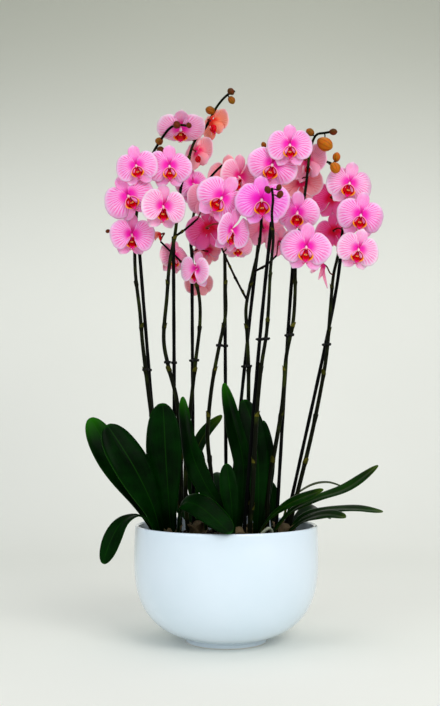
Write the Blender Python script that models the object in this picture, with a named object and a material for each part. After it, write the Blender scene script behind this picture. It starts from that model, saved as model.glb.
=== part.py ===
"""A potted orchid: a round glazed bowl planted with five moth orchids.

Eight flower spikes rise from the leaves, each one leaning on its own support stake.
The origin is the centre of the bowl's foot, +Z is up and -Y is the side that the flowers face.
Places in the tables below are millimetres; everything built from them is in metres.
"""

import math
from typing import NamedTuple

import bmesh
import bpy
from mathutils import Vector

MM = 0.001

# The bowl: a superellipse below its waist, nearly straight above it, on a low round foot.
POT_HEIGHT = 197.0
POT_RADIUS = 158.5
WALL = 7.0
WAIST_Z = 150.0
BOWL_POWER = 2.8
UNDERSIDE_Z = 3.0
INSIDE_BOTTOM_Z = 14.0
RIM_PULL_IN = 1.2
FOOT_RADIUS = 70.0
FOOT_HEIGHT = 8.0
POT_SIDES = 40

# The growing medium fills the bowl to a finger's width below the rim.
FIT_GAP = 0.5
MEDIUM_EDGE_Z = 171.0
MEDIUM_TOP_Z = 175.0
STAKE_FOOT_Z = 95.0
STAKE_BEND_RISE = 25.0
SOCKET_GAP = 0.6

STEM_FOOT_RADIUS = 3.2
STEM_TIP_RADIUS = 1.5
STEM_SIDES = 6
STAKE_RADIUS = 2.6
CLIP_RADIUS = 3.6
CLIP_HEIGHT = 5.0

# The outline of an open flower, as (degrees from its right-hand side, share of its width).
BLOOM_OUTLINE = (
    (90, 0.46), (68, 0.37), (42, 0.43), (12, 0.49), (-18, 0.50), (-42, 0.48), (-62, 0.49),
    (-90, 0.30), (-118, 0.49), (-138, 0.48), (-162, 0.50), (168, 0.49), (138, 0.43), (112, 0.37),
)
# A leaf's outline, as (share of its length, share of its greatest width).
LEAF_OUTLINE = ((0, 0.30), (0.15, 0.42), (0.35, 0.74), (0.6, 0.98), (0.75, 1.0), (0.9, 0.78), (1, 0.42))
# A leaf that twists starts to turn at this share of its length, and turns over this share of it.
TWIST_START = 0.28
TWIST_SPAN = 0.55

PETAL_THICKNESS = 1.8
PEDICEL_RADIUS = 1.2
PEDICEL_GAP = 1.2


class Spike(NamedTuple):
    """One flower stem: its path from the crown to its tip."""

    name: str
    path: tuple


class Bloom(NamedTuple):
    """One open flower: where its centre is, which way it faces, and how wide it is.

    yaw turns its face to the right (+X), pitch lifts it, and roll leans its top to the right.
    A flower with a name of its own is a piece; one named "" is joined to its spike.
    """

    name: str
    spike: str
    place: tuple
    yaw: float
    pitch: float
    roll: float
    width: float


class Bud(NamedTuple):
    """One closed bud on a spike's tip or side branch."""

    spike: str
    place: tuple
    length: float


class Branch(NamedTuple):
    """A side branch of a spike."""

    spike: str
    path: tuple


class Stake(NamedTuple):
    """A support stake, and how high its clip sits."""

    name: str
    path: tuple
    clip_z: float


class Leaf(NamedTuple):
    """One leaf: its greatest width, the way its upper face looks, and its midrib's path.

    tip_facing is the way the upper face looks at the tip of a leaf that twists.
    """

    name: str
    width: float
    facing: tuple
    path: tuple
    tip_facing: tuple = ()


SPIKES = (
    Spike("flower_spike_1", (
        (-104, -12, 182), (-112, -16, 240), (-121, -14, 325), (-133, -12, 411), (-145, -10, 504),
        (-151, -8, 567), (-160, -2, 640), (-161, 6, 715), (-155, 12, 775), (-144, 12, 825),
        (-131, 8, 852), (-118, 0, 872), (-99, -20, 890), (-82, -28, 893), (-64, -31, 890),
    )),
    Spike("flower_spike_2", (
        (-80, -28, 182), (-77, -28, 250), (-79, -28, 340), (-85, -26, 411), (-100, -25, 470),
        (-108, -24, 518), (-103, -20, 590), (-99, -15, 648), (-90, -10, 701), (-86, -4, 738),
        (-80, 4, 791), (-72, 9, 822), (-60, 17, 869), (-49, 20, 889), (-36, 17, 904), (-17, 9, 937),
        (1, 4, 957), (16, 0, 964),
    )),
    Spike("flower_spike_3", (
        (-68, 44, 182), (-72, 42, 250), (-70, 42, 340), (-62, 42, 413), (-54, 42, 485),
        (-47, 42, 548), (-48, 42, 598), (-59, 44, 648), (-64, 50, 713), (-59, 54, 751),
        (-50, 56, 785), (-36, 56, 811), (-20, 52, 830), (-6, 46, 842),
    )),
    Spike("flower_spike_4", (
        (-20, 8, 182), (-25, 8, 271), (-32, 8, 337), (-31, 8, 380), (-24, 8, 442), (-12, 8, 507),
        (-1, 8, 561), (-1, 8, 613), (-2, 8, 672), (-1, 10, 705), (2, 12, 742), (8, 14, 779),
        (17, 14, 811), (27, 12, 836),
    )),
    Spike("flower_spike_5", (
        (42, 30, 182), (40, 32, 260), (39, 28, 341), (40, 20, 460), (37, 15, 535), (36, 15, 579),
        (48, 15, 638), (60, 15, 693), (65, 15, 757), (69, 14, 794), (72, 12, 829), (71, 10, 862),
    )),
    Spike("flower_spike_6", (
        (38, -62, 182), (44, -66, 260), (50, -70, 375), (58, -74, 461), (67, -76, 519),
        (71, -78, 568), (74, -80, 625), (79, -80, 680), (77, -80, 722), (79, -80, 748),
        (77, -80, 768),
    )),
    Spike("flower_spike_7", (
        (70, -14, 182), (72, -18, 259), (84, -20, 327), (97, -20, 405), (104, -20, 485),
        (116, -20, 544), (120, -20, 596), (121, -18, 645), (125, -14, 683), (131, -6, 720),
        (137, 2, 758), (143, 6, 795), (147, 6, 831), (151, 2, 860), (160, -4, 882), (175, -8, 885),
        (189, -12, 886),
    )),
    Spike("flower_spike_8", (
        (107, 10, 182), (123, 10, 244), (148, 10, 343), (167, 10, 432), (178, 10, 497),
        (184, 10, 565), (190, 10, 628), (198, 10, 664), (206, 12, 700), (211, 14, 743),
        (211, 16, 779), (205, 14, 810), (192, 10, 832), (177, 6, 838),
    )),
)

BRANCHES = (
    Branch("flower_spike_1", ((-161, 6, 706), (-172, 6, 716), (-184, 4, 718), (-206, 0, 711))),
    Branch("flower_spike_2", ((-91, -10, 698), (-72, -6, 712), (-50, 2, 733))),
    Branch("flower_spike_3", ((-61, 46, 668), (-70, 24, 652), (-94, 6, 671), (-116, 2, 692))),
    Branch("flower_spike_5", ((37, 15, 590), (18, 2, 624), (2, -10, 656), (-8, -16, 678))),
    Branch("flower_spike_5", ((50, 15, 640), (72, 12, 652), (90, 8, 668))),
)

BLOOMS = (
    Bloom("flower_01", "flower_spike_1", (-165, -25, 700), 16, -8, -2, 78),
    Bloom("flower_02", "flower_spike_1", (-170, -38, 765), 0, 0, -28, 86),
    Bloom("flower_03", "flower_spike_1", (-155, -52, 815), -2, -2, -13, 74),
    Bloom("flower_04", "flower_spike_2", (-109, -60, 742), 22, -8, 0, 82),
    Bloom("flower_05", "flower_spike_2", (-99, -34, 819), 8, -4, -2, 80),
    Bloom("flower_06", "flower_spike_2", (-80, -13, 895), 2, -58, 2, 84),
    Bloom("flower_07", "flower_spike_3", (-92, 26, 667), 24, 0, 4, 64),
    Bloom("flower_08", "flower_spike_3", (-49, -3, 643), -32, -10, 14, 68),
    Bloom("flower_09", "flower_spike_4", (-7, -34, 763), 4, -6, 32, 90),
    Bloom("flower_10", "flower_spike_5", (7, -48, 704), 50, -14, 6, 84),
    Bloom("flower_11", "flower_spike_4", (21, 0, 809), 38, -6, 4, 86),
    Bloom("flower_12", "flower_spike_5", (61, -52, 755), -2, 0, -2, 92),
    Bloom("flower_13", "flower_spike_5", (81, -22, 825), 4, -6, 14, 88),
    Bloom("flower_14", "flower_spike_7", (136, -64, 671), 0, 0, 5, 86),
    Bloom("flower_15", "flower_spike_7", (124, -38, 737), -16, -18, 4, 78),
    Bloom("flower_16", "flower_spike_7", (111, -36, 856), 0, -2, 0, 80),
    Bloom("flower_17", "flower_spike_8", (226, -54, 669), 4, -6, 12, 76),
    Bloom("flower_18", "flower_spike_8", (233, -38, 732), 0, -4, 9, 82),
    Bloom("flower_19", "flower_spike_8", (216, -26, 791), 0, -4, 12, 82),
    Bloom("flower_20", "flower_spike_8", (193, 38, 779), 158, 0, 0, 78),
    Bloom("", "flower_spike_7", (144, 14, 842), 138, -6, 10, 82),
    Bloom("", "flower_spike_2", (-53, 20, 860), 134, -6, 12, 72),
    Bloom("", "flower_spike_2", (-27, 8, 912), 124, -6, 14, 70),
    Bloom("", "flower_spike_3", (-61, 30, 803), 30, 10, -10, 74),
    Bloom("", "flower_spike_2", (-32, 16, 774), -160, 0, 0, 78),
    Bloom("", "flower_spike_4", (-32, 36, 723), 166, 4, 4, 84),
    Bloom("", "flower_spike_3", (-33, 58, 685), 150, 4, 24, 58),
    Bloom("", "flower_spike_3", (4, 74, 833), 168, 0, 0, 78),
    Bloom("", "flower_spike_3", (-49, 66, 627), 174, 0, 0, 54),
    Bloom("", "flower_spike_5", (29, -4, 669), 14, -32, 0, 50),
    Bloom("", "flower_spike_5", (69, 44, 725), 168, 0, 0, 74),
    Bloom("", "flower_spike_5", (99, 20, 695), 150, 0, 0, 62),
    Bloom("", "flower_spike_7", (138, 34, 807), 160, 0, 0, 78),
    Bloom("", "flower_spike_8", (196, 38, 718), 166, 0, 0, 72),
)

BUDS = (
    Bud("flower_spike_1", (-119, 2, 873), 18),
    Bud("flower_spike_1", (-116, -4, 855), 17),
    Bud("flower_spike_1", (-86, -32, 892), 17),
    Bud("flower_spike_1", (-65, -33, 891), 12),
    Bud("flower_spike_1", (-188, 4, 724), 10),
    Bud("flower_spike_1", (-191, 4, 705), 9),
    Bud("flower_spike_1", (-209, 0, 710), 9),
    Bud("flower_spike_2", (-28, 8, 931), 19),
    Bud("flower_spike_2", (10, 2, 948), 16),
    Bud("flower_spike_2", (9, 0, 963), 15),
    Bud("flower_spike_3", (-115, 0, 705), 22),
    Bud("flower_spike_5", (68, 8, 868), 12),
    Bud("flower_spike_6", (69, -82, 763), 13),
    Bud("flower_spike_6", (89, -82, 768), 11),
    Bud("flower_spike_6", (92, -82, 755), 14),
    Bud("flower_spike_7", (150, -2, 888), 17),
    Bud("flower_spike_7", (175, -12, 864), 31),
    Bud("flower_spike_7", (190, -12, 886), 15),
    Bud("flower_spike_8", (189, -42, 813), 23),
    Bud("flower_spike_8", (198, 8, 846), 18),
)

STAKES = (
    Stake("support_stake_1", ((-103, -4, STAKE_FOOT_Z), (-133, 0, 440), (-156, 8, 703)), 464),
    Stake("support_stake_2", ((-87, -17, STAKE_FOOT_Z), (-90, -15, 440), (-93, -2, 700)), 476),
    Stake("support_stake_3", ((-57, 53, STAKE_FOOT_Z), (-60, 53, 440), (-62, 60, 690)), 484),
    Stake("support_stake_4", ((1, 18, STAKE_FOOT_Z), (-1, 18, 440), (-2, 19, 690)), 508),
    Stake("support_stake_5", ((-5, 46, STAKE_FOOT_Z), (30, 32, 440), (58, 25, 690)), 472),
    Stake("support_stake_6", ((22, -52, STAKE_FOOT_Z), (50, -64, 440), (77, -69, 712)), 512),
    Stake("support_stake_7", ((80, -10, STAKE_FOOT_Z), (102, -10, 440), (120, -6, 680)), 524),
    Stake("support_stake_8", ((82, 20, STAKE_FOOT_Z), (170, 20, 480), (205, 22, 665)), 510),
)

LEAVES = (
    Leaf("leaf_01", 62, (-0.25, -1.0, 0.15), (
        (-94, -34, 184), (-98, -46, 240), (-104, -60, 320), (-108, -58, 405))),
    Leaf("leaf_02", 54, (-0.1, -0.7, 0.7), (
        (-118, -12, 182), (-152, -18, 244), (-194, -24, 308), (-235, -22, 380))),
    Leaf("leaf_03", 64, (0.1, -0.8, 0.6), (
        (-112, -44, 184), (-124, -66, 232), (-153, -84, 294), (-198, -92, 368))),
    Leaf("leaf_04", 36, (-0.4, -0.2, 0.9), (
        (-116, -32, 182), (-142, -46, 214), (-168, -56, 210), (-188, -60, 182), (-205, -62, 138)),
        (-0.35, -1.0, 0.25)),
    Leaf("leaf_05", 48, (-0.45, -0.45, 0.77), (
        (-80, -52, 184), (-72, -80, 236), (-48, -112, 240), (-20, -140, 222), (6, -166, 199)),
        (0.2, -0.7, 0.7)),
    Leaf("leaf_06", 40, (-0.7, -0.6, 0.4), (
        (8, -58, 184), (-10, -60, 228), (-38, -60, 272), (-60, -56, 328), (-74, -52, 416))),
    Leaf("leaf_07", 42, (-0.4, -0.9, 0.1), (
        (20, -40, 184), (26, -38, 240), (28, -36, 304), (14, -38, 368), (-4, -34, 440)),
        (-0.85, -0.6, 0.1)),
    Leaf("leaf_08", 30, (0.0, -1.0, 0.25), (
        (10, -72, 184), (8, -80, 230), (4, -78, 266), (0, -72, 304))),
    Leaf("leaf_09", 46, (0.25, -1.0, 0.1), (
        (52, -18, 184), (54, -24, 246), (52, -24, 310), (44, -22, 366), (30, -18, 412))),
    Leaf("leaf_10", 34, (0.6, -0.8, 0.1), (
        (60, 2, 184), (68, 4, 240), (71, 6, 304), (65, 10, 376))),
    Leaf("leaf_11", 32, (-0.4, -0.7, 0.6), (
        (-44, 60, 184), (-58, 68, 250), (-62, 72, 296), (-40, 76, 350), (-7, 78, 386))),
    Leaf("leaf_12", 24, (0.8, -0.6, 0.1), (
        (-36, 26, 184), (-40, 26, 240), (-43, 24, 290), (-44, 22, 324))),
    Leaf("leaf_13", 36, (-0.35, -0.3, 0.9), (
        (80, -34, 186), (110, -44, 222), (152, -48, 244), (203, -48, 262), (257, -44, 300))),
    Leaf("leaf_14", 30, (-0.35, -0.4, 0.85), (
        (56, -44, 186), (76, -62, 216), (112, -76, 242), (160, -84, 262))),
    Leaf("leaf_15", 42, (0.0, -0.2, 1.0), (
        (112, -4, 186), (135, -2, 210), (175, 2, 221), (225, 6, 222), (273, 8, 218))),
    Leaf("leaf_16", 40, (0.1, -0.35, 0.95), (
        (108, -18, 186), (135, -28, 206), (170, -46, 218), (200, -58, 214))),
    Leaf("leaf_17", 30, (0.0, 0.15, 1.0), (
        (98, 30, 184), (112, 36, 232), (145, 38, 258), (178, 38, 266), (210, 38, 258))),
    Leaf("leaf_18", 24, (-0.2, -0.9, 0.3), (
        (84, 44, 184), (84, 50, 220), (82, 56, 246), (78, 60, 268))),
    Leaf("leaf_19", 50, (-0.3, -0.7, 0.7), (
        (-56, 72, 184), (-76, 100, 216), (-104, 134, 240), (-128, 172, 236))),
    Leaf("leaf_20", 48, (0.2, -0.7, 0.7), (
        (-28, 62, 184), (-18, 92, 226), (-6, 126, 262), (6, 170, 270))),
    Leaf("leaf_21", 46, (-0.2, -0.6, 0.8), (
        (58, 40, 184), (64, 70, 220), (74, 110, 242), (88, 160, 232))),
    Leaf("leaf_22", 44, (-0.3, -0.5, 0.8), (
        (114, 36, 184), (136, 58, 206), (162, 84, 218), (190, 112, 196))),
)


def to_vectors(points):
    """Table places in millimetres as vectors in metres."""
    return [Vector(p) * MM for p in points]


def smooth_path(points, per_span):
    """Points along a Catmull-Rom curve that passes through the given ones."""
    ends = [2 * points[0] - points[1], *points, 2 * points[-1] - points[-2]]
    found = []
    for before, start, end, after in zip(ends, ends[1:], ends[2:], ends[3:]):
        for step in range(per_span):
            t = step / per_span
            found.append(0.5 * (
                2 * start
                + (end - before) * t
                + (2 * before - 5 * start + 4 * end - after) * t ** 2
                + (3 * start - before - 3 * end + after) * t ** 3
            ))
    return [*found, points[-1].copy()]


def tangents(path):
    """The unit direction of the path at each of its points."""
    following = [*path[1:], path[-1]]
    leading = [path[0], *path[:-1]]
    return [(b - a).normalized() for a, b in zip(leading, following)]


def circle(centre, side, up, radius, sides):
    """A ring of points round centre, in the plane of side and up."""
    angles = [math.tau * k / sides for k in range(sides)]
    return [centre + radius * (math.cos(a) * side + math.sin(a) * up) for a in angles]


def tube_rings(path, radii, sides):
    """Rings across a path, each turned as little as possible from the one before."""
    rings = []
    side = Vector((1, 0, 0))
    for point, along, radius in zip(path, tangents(path), radii):
        side = (side - along * side.dot(along)).normalized()
        rings.append(circle(point, side, along.cross(side), radius, sides))
    return rings


def skin_of(rings):
    """A closed bmesh over rings of equal size; a ring of one point is a pole."""
    mesh = bmesh.new()
    rows = [[mesh.verts.new(p) for p in ring] for ring in rings]
    for row, following in zip(rows, rows[1:]):
        count = max(len(row), len(following))
        for k in range(count):
            after = (k + 1) % count
            corners = [row[k % len(row)], row[after % len(row)]]
            corners += [following[after % len(following)], following[k % len(following)]]
            mesh.faces.new(dict.fromkeys(corners))
    for row in (rows[0], rows[-1]):
        if len(row) > 1:
            mesh.faces.new(row)
    bmesh.ops.recalc_face_normals(mesh, faces=mesh.faces[:])
    return mesh


def piece(name, rings, material, parent=None):
    """A named object with a closed skin over the rings."""
    data = bpy.data.meshes.new(name)
    mesh = skin_of(rings)
    mesh.to_mesh(data)
    mesh.free()
    data.materials.append(material)
    data.shade_smooth()
    data.set_sharp_from_angle(angle=math.radians(40))
    made = bpy.data.objects.new(name, data)
    bpy.context.scene.collection.objects.link(made)
    made.parent = parent
    return made


def finish_of(name, colour, roughness):
    """A Principled BSDF material of one colour."""
    material = bpy.data.materials.new(name)
    material.use_nodes = True
    shader = material.node_tree.nodes["Principled BSDF"]
    shader.inputs["Base Color"].default_value = (*colour, 1)
    shader.inputs["Roughness"].default_value = roughness
    shader.inputs["Metallic"].default_value = 0
    return material


def boolean_with(target, others, operation):
    """Joins the other objects to the target, or cuts them from it, and hides them."""
    group = bpy.data.collections.new(target.name + "_helpers")
    bpy.context.scene.collection.children.link(group)
    for other in others:
        for home in other.users_collection:
            home.objects.unlink(other)
        group.objects.link(other)
        other.hide_render = True
        other.display_type = "WIRE"
    modifier = target.modifiers.new(operation.title(), "BOOLEAN")
    modifier.operation = operation
    modifier.operand_type = "COLLECTION"
    modifier.collection = group
    modifier.use_self = operation == "UNION"


def bowl_radius(z, radius, bottom):
    """The bowl's radius at a height, for a wall surface of that widest radius and bottom."""
    if z >= WAIST_Z:
        return radius - RIM_PULL_IN * ((z - WAIST_Z) / (POT_HEIGHT - WAIST_Z)) ** 2
    depth = (WAIST_Z - z) / (WAIST_Z - bottom)
    return radius * (1 - depth ** BOWL_POWER) ** (1 / BOWL_POWER)


def lathe_rings(profile):
    """Rings about the Z axis from (radius, height) pairs in millimetres."""
    x, y = Vector((1, 0, 0)), Vector((0, 1, 0))
    rings = []
    for radius, z in profile:
        centre = Vector((0, 0, z * MM))
        rings.append(circle(centre, x, y, radius * MM, POT_SIDES) if radius else [centre])
    return rings


def make_pot(material, parent):
    """The glazed bowl, open at the top, on its flat foot."""
    outside_heights = (10, 15, 24, 38, 58, 84, 115, WAIST_Z, 175)
    inside_heights = (175, WAIST_Z, 115, 84, 58, 40, 27, 20)
    outer = [(bowl_radius(z, POT_RADIUS, UNDERSIDE_Z), z) for z in outside_heights]
    inside_radius = POT_RADIUS - WALL
    inner = [(bowl_radius(z, inside_radius, INSIDE_BOTTOM_Z), z) for z in inside_heights]
    rim_outer = bowl_radius(POT_HEIGHT, POT_RADIUS, UNDERSIDE_Z)
    rim_inner = rim_outer - WALL
    rim = [
        (rim_outer, POT_HEIGHT - 3), (rim_outer - 1.2, POT_HEIGHT - 0.8),
        (rim_outer - WALL / 2, POT_HEIGHT), (rim_inner + 1.2, POT_HEIGHT - 0.8),
        (rim_inner, POT_HEIGHT - 3),
    ]
    foot = [(0, 0), (FOOT_RADIUS - 1, 0), (FOOT_RADIUS, 1), (FOOT_RADIUS, FOOT_HEIGHT)]
    profile = [*foot, *outer, *rim, *inner, (0, INSIDE_BOTTOM_Z)]
    return piece("pot", lathe_rings(profile), material, parent)


def make_medium(material, parent):
    """The block of bark and moss that the plants root in, with a socket for each stake."""
    inside_radius = POT_RADIUS - WALL - FIT_GAP
    bottom = INSIDE_BOTTOM_Z + FIT_GAP
    heights = (20, 27, 40, 58, 84, 115, WAIST_Z)
    wall = [(bowl_radius(z, inside_radius, bottom) - 1, z) for z in heights]
    edge = bowl_radius(MEDIUM_EDGE_Z, inside_radius, bottom) - 1
    top = [(edge, MEDIUM_EDGE_Z - 4), (edge - 4, MEDIUM_EDGE_Z), (80, MEDIUM_TOP_Z)]
    profile = [(0, bottom), *wall, *top, (0, MEDIUM_TOP_Z + 1)]
    medium = piece("growing_medium", lathe_rings(profile), material, parent)
    sockets = []
    for stake in STAKES:
        path = [Vector(p) * MM for p in stake_path(stake)]
        foot = path[0] + (path[0] - path[1]).normalized() * SOCKET_GAP * MM
        radii = [(STAKE_RADIUS + SOCKET_GAP) * MM] * 2
        rings = tube_rings([foot, path[1].copy()], radii, STEM_SIDES)
        sockets.append(piece(stake.name + "_socket", rings, material))
    boolean_with(medium, sockets, "DIFFERENCE")


def stake_path(stake):
    """A stake's path in millimetres: straight in the medium, then bowed a little up to its top."""
    foot, middle, top = (Vector(p) for p in stake.path)
    mouth = foot.lerp(middle, (MEDIUM_TOP_Z + STAKE_BEND_RISE - foot.z) / (middle.z - foot.z))
    return [foot, mouth, middle, middle.lerp(top, 0.5) + (middle - foot.lerp(top, 0.5)) * 0.3, top]


def make_stake(stake, material, parent):
    """A support stake, with the collar of its clip."""
    path = stake_path(stake)
    low_z, high_z = stake.clip_z - CLIP_HEIGHT / 2, stake.clip_z + CLIP_HEIGHT / 2
    found, radii = [path[0]], [STAKE_RADIUS]
    for start, end in zip(path, path[1:]):
        if start.z < stake.clip_z <= end.z:
            low, high = (start.lerp(end, (z - start.z) / (end.z - start.z)) for z in (low_z, high_z))
            step = (end - start).normalized() * 0.4
            found += [low - step, low, high, high + step]
            radii += [STAKE_RADIUS, CLIP_RADIUS, CLIP_RADIUS, STAKE_RADIUS]
        found.append(end)
        radii.append(STAKE_RADIUS)
    rings = tube_rings([p * MM for p in found], [r * MM for r in radii], STEM_SIDES)
    piece(stake.name, rings, material, parent)


def stem_radius(share):
    """A flower stem's radius in metres, at a share of the way from its foot to its tip."""
    return (STEM_FOOT_RADIUS + (STEM_TIP_RADIUS - STEM_FOOT_RADIUS) * share ** 1.5) * MM


def nearest_on(path, place):
    """The index of the path's point that is nearest to a place."""
    return min(range(len(path)), key=lambda k: (path[k] - place).length)


def bloom_axes(bloom):
    """A flower's right, up and front directions."""
    yaw, pitch, roll = (math.radians(a) for a in (bloom.yaw, bloom.pitch, bloom.roll))
    front = Vector((
        math.sin(yaw) * math.cos(pitch), -math.cos(yaw) * math.cos(pitch), math.sin(pitch)))
    level = front.cross(Vector((0, 0, 1))).normalized() * -1
    upright = level.cross(front) * -1
    right = level * math.cos(roll) - upright * math.sin(roll)
    up = upright * math.cos(roll) + level * math.sin(roll)
    return right, up, front


def bloom_rings(bloom, hold, hold_radius):
    """Rings from the tip of a flower's lip, over its petals and back along its pedicel.

    hold is the point on the spike that carries it, and hold_radius the stem's radius there.
    A flower that is joined to its spike reaches into the stem, and any other stops short.
    """
    right, up, front = bloom_axes(bloom)
    centre = Vector(bloom.place) * MM
    width = bloom.width * MM

    def at(x, y, z):
        return centre + right * x + up * y + front * z

    def outline(z):
        turns = [(math.radians(a), r * width) for a, r in BLOOM_OUTLINE]
        return [at(r * math.cos(a), r * math.sin(a), z - 0.25 * r * r / width) for a, r in turns]

    def ring(radius, y, z):
        turns = [math.radians(a) for a, _ in BLOOM_OUTLINE]
        return [at(radius * math.cos(a), y + radius * math.sin(a), z) for a in turns]

    back = at(0, 0, -5 * MM)
    behind = back - front * (0.35 * (hold - back).length)
    reach = (behind - hold).normalized()
    end = hold + reach * (hold_radius + PEDICEL_GAP * MM if bloom.name else 0)
    middle = back * 0.25 + behind * 0.5 + end * 0.25
    rings = [
        [at(0, -0.09 * width, 0.14 * width)],
        ring(0.09 * width, -0.04 * width, 0.06 * width),
        outline(PETAL_THICKNESS / 2 * MM),
        outline(-PETAL_THICKNESS / 2 * MM),
        ring(3 * MM, 0, -5 * MM),
    ]
    side = right
    turns = [math.radians(a) for a, _ in BLOOM_OUTLINE]
    for point, along in ((middle, end - back), (end, end - middle)):
        along = along.normalized()
        side = (side - along * side.dot(along)).normalized()
        radius = PEDICEL_RADIUS * MM
        rings.append([
            point + radius * (math.cos(a) * side + math.sin(a) * side.cross(along)) for a in turns
        ])
    return [*rings, [end.copy()]]


def bud_rings(bud, hold):
    """Rings of a pointed bud and the short stalk that joins it to the spike at hold."""
    centre = Vector(bud.place) * MM
    length = bud.length * MM
    along = (centre - hold).normalized()
    side = along.orthogonal().normalized()
    shape = ((-0.5, 0.16), (-0.28, 0.34), (0.08, 0.39), (0.36, 0.24))
    rings = [[hold.copy()], circle(hold, side, along.cross(side), 0.8 * MM, STEM_SIDES)]
    for share, radius in shape:
        ring_centre = centre + along * share * length
        if (ring_centre - hold).dot(along) > MM:
            rings.append(circle(
                ring_centre, side, along.cross(side), radius * length, STEM_SIDES))
    return [*rings, [centre + along * 0.5 * length]]


def make_spike(spike, stem, parent, petal):
    """A flower stem with its side branches, its buds, and its flowers that have no name."""
    path = smooth_path(to_vectors(spike.path), 1)
    radii = [stem_radius(k / (len(path) - 1)) for k in range(len(path))]
    made = piece(spike.name, tube_rings(path, radii, STEM_SIDES), stem, parent)
    holds = smooth_path(to_vectors(spike.path), 8)
    joined = []
    for number, branch in enumerate(b for b in BRANCHES if b.spike == spike.name):
        along = smooth_path(to_vectors(branch.path), 2)
        radii = [1.3 * MM] * len(along)
        joined.append(piece(
            f"{spike.name}_branch_{number}", tube_rings(along, radii, STEM_SIDES), stem))
        holds += smooth_path(to_vectors(branch.path), 8)
    for number, bud in enumerate(b for b in BUDS if b.spike == spike.name):
        hold = holds[nearest_on(holds, Vector(bud.place) * MM)]
        joined.append(piece(f"{spike.name}_bud_{number}", bud_rings(bud, hold), stem))
    for number, bloom in enumerate(b for b in BLOOMS if b.spike == spike.name):
        hold = holds[nearest_on(holds, Vector(bloom.place) * MM)]
        rings = bloom_rings(bloom, hold, STEM_FOOT_RADIUS * MM)
        if bloom.name:
            piece(bloom.name, rings, petal, parent)
        else:
            joined.append(piece(f"{spike.name}_flower_{number}", rings, petal))
    boolean_with(made, joined, "UNION")


def leaf_spread(share):
    """How wide a leaf is at a share of its length, as a share of its greatest width."""
    for (start, low), (end, high) in zip(LEAF_OUTLINE, LEAF_OUTLINE[1:]):
        if share <= end:
            return low + (high - low) * (share - start) / (end - start)
    return LEAF_OUTLINE[-1][1]


def leaf_facing(leaf, share):
    """The way a leaf's upper face looks at a share of its length."""
    start = Vector(leaf.facing)
    if not leaf.tip_facing:
        return start
    turned = min(1.0, max(0.0, (share - TWIST_START) / TWIST_SPAN))
    return start.lerp(Vector(leaf.tip_facing), turned * turned * (3 - 2 * turned))


def make_leaf(leaf, material, parent):
    """A strap leaf: narrow at its foot, widest past its middle, folded a little at its midrib."""
    path = smooth_path(to_vectors(leaf.path), 2)
    rings = []
    for k, (point, along) in enumerate(zip(path, tangents(path))):
        share = k / (len(path) - 1)
        half = 0.5 * leaf.width * MM * leaf_spread(share)
        side = along.cross(leaf_facing(leaf, share)).normalized()
        up = side.cross(along).normalized()
        fold = 0.16 * half
        rim, core = 0.5 * MM, (1.4 - 0.6 * share) * MM
        rings.append([
            point - side * half + up * (fold - rim), point - up * core,
            point + side * half + up * (fold - rim), point + side * half + up * (fold + rim),
            point + up * core, point - side * half + up * (fold + rim),
        ])
    tip = path[-1] + tangents(path)[-1] * 0.12 * leaf.width * MM
    piece(leaf.name, [*rings, [tip]], material, parent)


def main():
    """Builds the whole object in an emptied scene."""
    for old in list(bpy.data.objects):
        bpy.data.objects.remove(old)
    glaze = finish_of("white_glaze", (0.86, 0.9, 0.93), 0.12)
    bark = finish_of("orchid_bark", (0.14, 0.08, 0.045), 0.9)
    leaf_skin = finish_of("leaf_green", (0.02, 0.09, 0.015), 0.35)
    stem_skin = finish_of("stem_green", (0.05, 0.07, 0.02), 0.45)
    stake_skin = finish_of("stake_dark", (0.015, 0.018, 0.015), 0.5)
    petal_skin = finish_of("petal_pink", (0.9, 0.45, 0.7), 0.5)
    plant = bpy.data.objects.new("potted_orchid", None)
    bpy.context.scene.collection.objects.link(plant)
    make_pot(glaze, plant)
    make_medium(bark, plant)
    for stake in STAKES:
        make_stake(stake, stake_skin, plant)
    for spike in SPIKES:
        make_spike(spike, stem_skin, plant, petal_skin)
    for leaf in LEAVES:
        make_leaf(leaf, leaf_skin, plant)


main()
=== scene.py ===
"""The looks of a potted orchid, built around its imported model.

Five moth orchids grow in a round glazed bowl. Their eight flower spikes are clipped to thin stakes.
The tables are in millimetres and the scene in metres, with the bowl's foot at the origin, +Z up and
the flowers facing -Y.
"""

import functools
import logging
import math
import random
from collections.abc import Iterable, Sequence
from dataclasses import dataclass, field
from enum import Enum

import bpy
from mathutils import Matrix, Vector, noise


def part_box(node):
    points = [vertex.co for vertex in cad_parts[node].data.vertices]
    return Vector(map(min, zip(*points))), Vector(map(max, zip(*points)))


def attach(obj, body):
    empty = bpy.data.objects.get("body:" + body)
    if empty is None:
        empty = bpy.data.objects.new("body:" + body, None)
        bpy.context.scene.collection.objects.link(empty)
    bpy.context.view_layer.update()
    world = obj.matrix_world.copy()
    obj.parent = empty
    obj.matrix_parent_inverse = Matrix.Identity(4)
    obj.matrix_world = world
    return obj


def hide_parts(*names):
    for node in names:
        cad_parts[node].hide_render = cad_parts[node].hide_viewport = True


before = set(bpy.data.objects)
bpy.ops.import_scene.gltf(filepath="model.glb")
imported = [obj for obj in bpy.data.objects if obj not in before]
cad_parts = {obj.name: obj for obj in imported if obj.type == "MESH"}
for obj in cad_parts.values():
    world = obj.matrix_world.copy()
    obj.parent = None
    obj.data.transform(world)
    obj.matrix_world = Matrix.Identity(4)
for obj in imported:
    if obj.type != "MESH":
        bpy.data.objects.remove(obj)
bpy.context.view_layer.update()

MM = 0.001
BODY = "root"
POD_SIDES = 12

Colour = tuple[float, float, float]
Place = tuple[float, float, float]
Socket = bpy.types.NodeSocket
log = logging.getLogger("potted_orchid")


# ---------------------------------------------------------------- curves and meshes


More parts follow.
